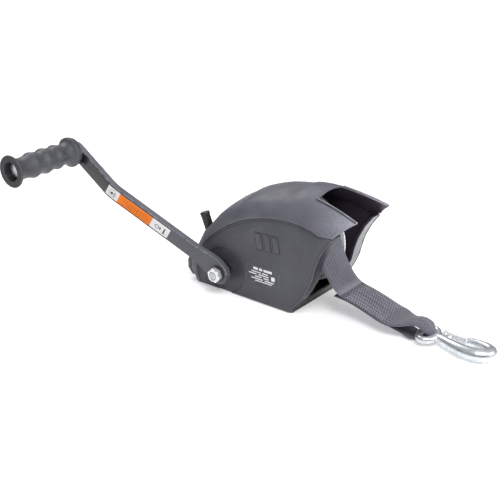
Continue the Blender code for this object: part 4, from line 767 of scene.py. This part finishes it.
def ribbon(name, line, loop_run):
    """A woven strap along the line: ribbed on both faces, and arched where it is bunched over the eye's bar.
    loop_run is the length along it at which it enters the eye. From there on it lies below, and its faces
    have the second material, a painted shade, as its underside has all along."""
    columns = STRAP_COLUMNS
    shape = bmesh.new()
    weave = shape.loops.layers.uv.new("weave")
    rings = []
    run = 0.0
    runs = []
    for i, point in enumerate(line):
        before = line[max(i - 1, 0)]
        after = line[min(i + 1, len(line) - 1)]
        direction = (after - before).normalized()
        normal = Vector((0, -direction.z, direction.y))
        if i:
            run += (point - line[i - 1]).length
        above = run < loop_run
        wide = half_width(point, above)
        gathered = 1 - (wide - GATHERED_HALF_WIDTH) / (STRAP_WIDTH / 2 - GATHERED_HALF_WIDTH)
        middle = drift(point.y)
        puff = PUFF * ease((point.z - 0.0055) / 0.006) * ease((front(-0.138) - point.y) / 0.016)
        top, bottom = [], []
        for k in range(columns + 1):
            share = 2 * k / columns - 1
            rib = RIB_HEIGHT * cos(share * pi * STRAP_RIBS) * (1 - 0.75 * gathered)
            thick = (STRAP_THICKNESS / 2 + rib) * (0.25 + 0.75 * edge_roundness(share, 0.93))
            arch = ARCH * (0.45 - share * share) + 0.0003 * cos(share * 3 * pi) + puff
            # The normal points in, towards the drum and the eye's bar, so a crown goes against it.
            lift = gathered * (-arch if above else 0.0010 * abs(share) ** 3)
            centre = point + Vector((middle + share * wide, 0, 0)) + normal * lift
            top.append(shape.verts.new(centre + normal * thick))
            bottom.append(shape.verts.new(centre - normal * thick))
        rings.append(top + bottom[::-1])
        runs.append(run)
    count = len(rings[0])

    def across(k):
        column = k if k <= columns else count - 1 - k
        return (2 * column / columns - 1) * STRAP_WIDTH / 2

    for i in range(len(rings) - 1):
        for k in range(count):
            n = (k + 1) % count
            face = shape.faces.new((rings[i][k], rings[i][n], rings[i + 1][n], rings[i + 1][k]))
            corners = ((k, runs[i]), (n, runs[i]), (n, runs[i + 1]), (k, runs[i + 1]))
            for loop, (column, run) in zip(face.loops, corners):
                loop[weave].uv = (across(column), run)
            face.material_index = 1 if runs[i] > loop_run or k > columns else 0
    for ring in (rings[0], rings[-1]):
        for k in range(columns):
            shape.faces.new((ring[k], ring[k + 1], ring[count - 2 - k], ring[count - 1 - k]))
    bmesh.ops.recalc_face_normals(shape, faces=shape.faces)
    return smooth(linked_shape(name, shape), 60)


upper_path, whole_path = strap_path()
strap_line = even(whole_path, STRAP_STEP)


def run_to(y, below=1.0):
    """The length along the strap from the drum to where it is past y, and lower than below."""
    total = 0.0
    for a, b in zip(strap_line, strap_line[1:]):
        total += (b - a).length
        if b.y < front(y) and b.z < below:
            break
    return total


WEBBING = webbing("webbing_grey", grey(46, (2, 0, 9)), grey(124, (2, 0, 14)),
                  (run_to(PRESSED[1]), run_to(PRESSED[0])))
strap = add(ribbon("webbing_strap", strap_line, run_to(-0.160, 0.0060)), WEBBING, "frame", "webbing", "strap")
strap.data.materials.append(WEBBING_SHADE)


STITCH_HALF_WIDTH = 0.00055
STITCH_LENGTH = 0.0021
STITCH_PITCH = 0.0030
STITCH_PROFILE = ((-0.5, 0.00075), (-0.3, 0.00117), (0.3, 0.00117), (0.5, 0.00075))
STITCH_COLUMNS = (-0.86, -0.66, -0.43, -0.20, 0.20, 0.43, 0.66, 0.86)


def stitch(shape, centre, direction, normal):
    """One stitch: a short flat-topped loop of thread that stands on the strap."""
    side = direction.cross(normal)
    corners = []
    for along, height in STITCH_PROFILE:
        for across in (-1, 1):
            spot = centre + direction * along * STITCH_LENGTH + side * across * STITCH_HALF_WIDTH
            corners.append(shape.verts.new(spot + normal * height))
    for k in range(0, 6, 2):
        shape.faces.new((corners[k], corners[k + 1], corners[k + 3], corners[k + 2]))
    shape.faces.new(corners[6::-2])
    shape.faces.new(corners[1::2])
    shape.faces.new((corners[0], corners[6], corners[7], corners[1]))


def stitch_rows():
    """Lengthwise rows of thread through both layers of the strap."""
    shape = bmesh.new()
    upper = even(upper_path, STITCH_PITCH)
    for before, point, after in zip(upper, upper[1:], upper[2:]):
        if not front(SEWN[0]) < point.y < front(SEWN[1]):
            continue
        direction = (after - before).normalized()
        normal = Vector((0, -direction.z, direction.y))
        if normal.z < 0:
            normal.negate()
        wide = half_width(point, True)
        for share in STITCH_COLUMNS:
            stitch(shape, point + Vector((drift(point.y) + share * wide, 0, 0)), direction, normal)
    bmesh.ops.recalc_face_normals(shape, faces=shape.faces)
    return linked_shape("strap_stitches", shape)


stitches = add(stitch_rows(), THREAD, "frame", "webbing")


def winding():
    """The wound strap: ribs round the outside, and the edges of its turns as fine steps on each side."""
    half = STRAP_WIDTH / 2
    turns = int((WINDING_RADIUS - HUB_RADIUS) / STRAP_THICKNESS)
    thick = (WINDING_RADIUS - HUB_RADIUS) / turns
    side = []
    for k in range(turns):
        radius = HUB_RADIUS + (WINDING_RADIUS - HUB_RADIUS) * k / turns
        side += [(half - 0.0007, radius), (half - 0.0001, radius + thick * 0.25),
                 (half - 0.0001, radius + thick * 0.75)]
    columns = 120
    outer = []
    for k in range(columns + 1):
        share = 1 - 2 * k / columns
        rib = 0.00016 * (cos(share * pi * STRAP_RIBS) - 1)
        drop = 0.0007 * (1 - edge_roundness(share, 0.96))
        outer.append((share * half, WINDING_RADIUS + rib - drop))
    profile = side + outer + [(-x, radius) for x, radius in reversed(side)]
    piece = revolved("wound_webbing", profile, (front(DRUM[0]), DRUM[1]), 128)
    layer = piece.data.uv_layers.new(name="weave")
    for loop in piece.data.loops:
        spot = piece.data.vertices[loop.vertex_index].co
        angle = atan2(spot.z - DRUM[1], spot.y - front(DRUM[0]))
        layer.data[loop.index].uv = (spot.x, angle * WINDING_RADIUS)
    return smooth(piece, 50)


add(winding(), WEBBING_WOUND, "drum", "webbing", "strap_winding")

# Trim on the covers: beads down their front edges, a rim bead with a painted highlight and a dark groove on
# each lobe, and the seams between hood and covers
SIDES = ((-1, "left"), (1, "right"))
FRONT_EDGE = [(0.0000, 0.0085), (-0.0110, 0.0185), (-0.0200, 0.0330), (-0.0290, 0.0510), (-0.0320, 0.0650),
              (-0.0370, 0.0810), (-0.0466, 0.1000), (-0.0560, 0.1120)]
for side, label in SIDES:
    edge = [(side * (COVER_FACE - 0.0004), front(y) + 0.0006, z) for y, z in FRONT_EDGE]
    add(tube(label + "_cover_bead", edge, 0.0007), PLASTIC, "frame", "cover_plastic")

LOBE_RIM = [(0.0355, -0.0788, 0.1354), (0.0335, -0.0630, 0.1402), (0.0312, -0.0480, 0.1437),
            (0.0292, -0.0320, 0.1468), (0.0276, -0.0175, 0.1489)]
for side, label in SIDES:
    rim = [(side * x, front(y), z) for x, y, z in LOBE_RIM]
    add(tube(label + "_lobe_rim_highlight", rim, 0.0005), WALL_HIGHLIGHT, "frame", "cover_plastic")
    rim = [(side * (x + 0.0019), front(y) + 0.0008, z - 0.0006) for x, y, z in LOBE_RIM]
    add(tube(label + "_lobe_groove", rim, 0.0005), SEAM_AND_SHADOW_DARK, "frame", "cover_plastic")


SEAM_ARC_CENTRE = (0.003, -0.059)
SEAM_ARC_RADIUS = 0.180
COVER_MIDDLE = Vector((0.045, 0.02))


def seam_line(inset):
    """The joint between hood and side cover, seen from the side, moved in towards the cover's middle."""
    line = [(-0.0460, 0.1139), (-0.0370, 0.1133), (-0.0280, 0.1172)]
    for k in range(13):
        y = -0.014 + 0.0121 * k
        line.append((y, SEAM_ARC_CENTRE[1] + sqrt(SEAM_ARC_RADIUS ** 2 - (y - SEAM_ARC_CENTRE[0]) ** 2)))
    line += [(0.1400, 0.0570), (0.1460, 0.0450), (0.1500, 0.0340), (0.1520, 0.0240), (0.1505, 0.0120)]
    moved = []
    for y, z in line:
        away = (COVER_MIDDLE - Vector((y, z))).normalized() * inset
        moved.append((front(y + away.x), z + away.y))
    return moved


for side, label in SIDES:
    for part, inset, radius, out in (("gap", 0.0001, 0.0008, -0.0004),
                                     ("groove", 0.0034, 0.00045, -0.0002)):
        points = [(side * (COVER_FACE + out), y, z) for y, z in seam_line(inset)]
        add(tube(label + "_seam_" + part, points, radius), SEAM_AND_SHADOW_DARK, "frame", "cover_plastic")


def raised(name, outlines, depth):
    """Flat shapes that stand out of the near cover's face. Each outline is a list of distances from the front
    edge and heights."""
    shape = bmesh.new()
    for outline in outlines:
        low = [shape.verts.new((-COVER_FACE + 0.0003, front(y), z)) for y, z in outline]
        high = [shape.verts.new((-COVER_FACE - depth, front(y), z)) for y, z in outline]
        shape.faces.new(low)
        shape.faces.new(high[::-1])
        for k in range(len(outline)):
            n = (k + 1) % len(outline)
            shape.faces.new((low[k], high[k], high[n], low[n]))
    bmesh.ops.recalc_face_normals(shape, faces=shape.faces)
    return linked_shape(name, shape)


def slanted(y, z, length, height, slant):
    """A bar's outline that leans forward; a slant of 0 gives a rectangle."""
    return [(y, z), (y - length, z), (y - length - slant, z + height), (y - slant, z + height)]


# An embossed mark of three bars, with a painted shadow round it
BARS = ((0.0530, 0.0745), (0.0400, 0.0750), (0.0270, 0.0755))
MARK = [slanted(y, z, 0.0085, 0.0205, -0.0036) for y, z in BARS]
MARK_SHADOW = [slanted(y + 0.0011, z - 0.0012, 0.0107, 0.0229, -0.0040) for y, z in BARS]
add(raised("embossed_mark_shadow", MARK_SHADOW, 0.00006), SEAM_AND_SHADOW_DARK, "frame", "cover_plastic")
mark = raised("embossed_bars", MARK, 0.0009)
mark_bevel = mark.modifiers.new("round", "BEVEL")
mark_bevel.width = 0.0005
mark_bevel.segments = 2
add(smooth(bake(mark), 40), SIDE_PLASTIC, "frame", "cover_plastic")

# A printed block of blank bars in a rounded frame. Each bar: distance from the front edge, height above the
# floor, length, and thickness.
ROWS = [
    (0.0590, 0.0450, 0.0070, 0.0032), (0.0500, 0.0450, 0.0050, 0.0032), (0.0430, 0.0450, 0.0130, 0.0032),
    (0.0620, 0.0415, 0.0150, 0.0013), (0.0450, 0.0415, 0.0090, 0.0013), (0.0660, 0.0385, 0.0120, 0.0013),
    (0.0510, 0.0385, 0.0160, 0.0013), (0.0560, 0.0355, 0.0100, 0.0013), (0.0430, 0.0355, 0.0080, 0.0013),
    (0.0620, 0.0325, 0.0180, 0.0013), (0.0410, 0.0325, 0.0140, 0.0013), (0.0560, 0.0298, 0.0260, 0.0011),
    (0.0310, 0.0360, 0.0055, 0.0055)]
PRINTED = [slanted(*row, 0.0) for row in ROWS]
add(raised("printed_bars", PRINTED, 0.00008), PRINT, "frame", "cover_plastic")


def rounded_frame(y0, y1, z0, z1, corner):
    """A rectangle with round corners, on the near cover's face."""
    points = []
    for cy, cz, start in ((y1 - corner, z1 - corner, 0), (y0 + corner, z1 - corner, 90),
                          (y0 + corner, z0 + corner, 180), (y1 - corner, z0 + corner, 270)):
        for k in range(4):
            angle = radians(start + 30 * k)
            y, z = cy + corner * cos(angle), cz + corner * sin(angle)
            points.append((-COVER_FACE - 0.0001, front(y), z))
    return points


print_frame = tube("print_frame", rounded_frame(0.0190, 0.0700, 0.0270, 0.0505, 0.0035), 0.0004, True)
add(print_frame, PLASTIC, "frame", "cover_plastic")

# The other CAD parts keep their shapes and get their finishes
KEPT = (
    (BLACK, ("tie_bar",)),
    (ZINC, ("cover_screw_0", "cover_screw_1", "cover_screw_2", "cover_screw_3", "strap_anchor_bolt")),
    (NYLON, ("left_shaft_bushing", "right_shaft_bushing", "left_thrust_washer", "right_thrust_washer",
             "left_drum_bushing", "right_drum_bushing")),
    (STEEL, ("drum_axle", "axle_retaining_ring", "pawl_pivot_pin", "pawl_pin_clip", "pawl_spring",
             "drum_hub", "drum_gear", "gear_rivet_0", "gear_rivet_1", "gear_rivet_2", "gear_rivet_3",
             "gear_rivet_4", "drive_shaft", "shaft_retaining_ring", "pinion_gear", "ratchet_wheel")),
    (LABEL, ("arm_label",)),
)
for finish, nodes in KEPT:
    for node in nodes:
        for slot in NODES[node].material_slots:
            slot.material = finish


# ---------------------------------------------------------------- stage

FLOOR_HALF_SIZE = 60.0
FLOOR_GLOW = (0.6, 2.5, 0.34, 0.85)  # from this distance to this, it rises from this strength to this


def floor():
    """A wide pale floor that glows, more so away from the object, so that it fades into the white."""
    shape = bmesh.new()
    bmesh.ops.create_grid(shape, x_segments=8, y_segments=8, size=FLOOR_HALF_SIZE)
    for vertex in shape.verts:
        vertex.co.z = cad_box[0][2] - 0.0002
    piece = linked_shape("floor", shape)
    finish = Finish("floor_pale")
    finish.colour(finish.ramp(finish.noise(2.0), [(0.3, (0.90,) * 3), (0.7, (0.93,) * 3)]))
    finish.rough(finish.noise(3.0), 0.6, 0.7)
    finish.shader.inputs["Emission Color"].default_value = (1.0, 1.0, 1.0, 1.0)
    away = finish.nodes.new("ShaderNodeVectorMath")
    away.operation = "LENGTH"
    finish.links.new(finish.place, away.inputs[0])
    glow = finish.spread(away.outputs["Value"], *FLOOR_GLOW)
    finish.links.new(glow, finish.shader.inputs["Emission Strength"])
    piece.data.materials.append(finish.material)


floor()


def soft_light(name, place, target, size, power):
    lamp = bpy.data.lights.new(name, "AREA")
    lamp.shape = "RECTANGLE"
    lamp.size, lamp.size_y = size
    lamp.energy = power
    holder = bpy.data.objects.new(name, lamp)
    bpy.context.scene.collection.objects.link(holder)
    holder.location = place
    holder.rotation_euler = (Vector(target) - Vector(place)).to_track_quat("-Z", "Y").to_euler()


soft_light("key", (-0.7, -0.9, 1.7), (0, 0, 0.05), (0.9, 0.9), 22.0)
soft_light("front", (0.3, -1.6, 0.9), (0, 0, 0.08), (1.0, 0.6), 12.0)
soft_light("back", (0.6, 1.3, 1.5), (0, 0, 0.08), (1.2, 0.8), 16.0)


def studio_world():
    """A pale room: bright overhead, with a darker band at eye level that gives the metal its contrast."""
    world = bpy.data.worlds.new("studio")
    bpy.context.scene.world = world
    world.use_nodes = True
    nodes, links = world.node_tree.nodes, world.node_tree.links
    direction = nodes.new("ShaderNodeTexCoord").outputs["Generated"]
    split = nodes.new("ShaderNodeSeparateXYZ")
    links.new(direction, split.inputs[0])
    ramp = nodes.new("ShaderNodeValToRGB")
    elements = ramp.color_ramp.elements
    stops = [(0.0, 0.10), (0.22, 0.14), (0.45, 0.55), (1.0, 0.80)]
    while len(elements) < len(stops):
        elements.new(0.5)
    for element, (position, value) in zip(elements, stops):
        element.position = position
        element.color = (value, value, value * 1.03, 1.0)
    links.new(split.outputs[2], ramp.inputs[0])
    links.new(ramp.outputs["Color"], nodes["Background"].inputs["Color"])
    nodes["Background"].inputs["Strength"].default_value = 0.75


studio_world()
bpy.context.scene.view_settings.view_transform = "Standard"

lens = bpy.data.cameras.new("camera")
lens.lens = CAMERA_LENS
lens.sensor_width = CAMERA_SENSOR
camera = bpy.data.objects.new("camera", lens)
bpy.context.scene.collection.objects.link(camera)
camera.location = CAMERA_PLACE
camera.rotation_euler = Vector(CAMERA_DIRECTION).to_track_quat("-Z", "Y").to_euler()
bpy.context.scene.camera = camera
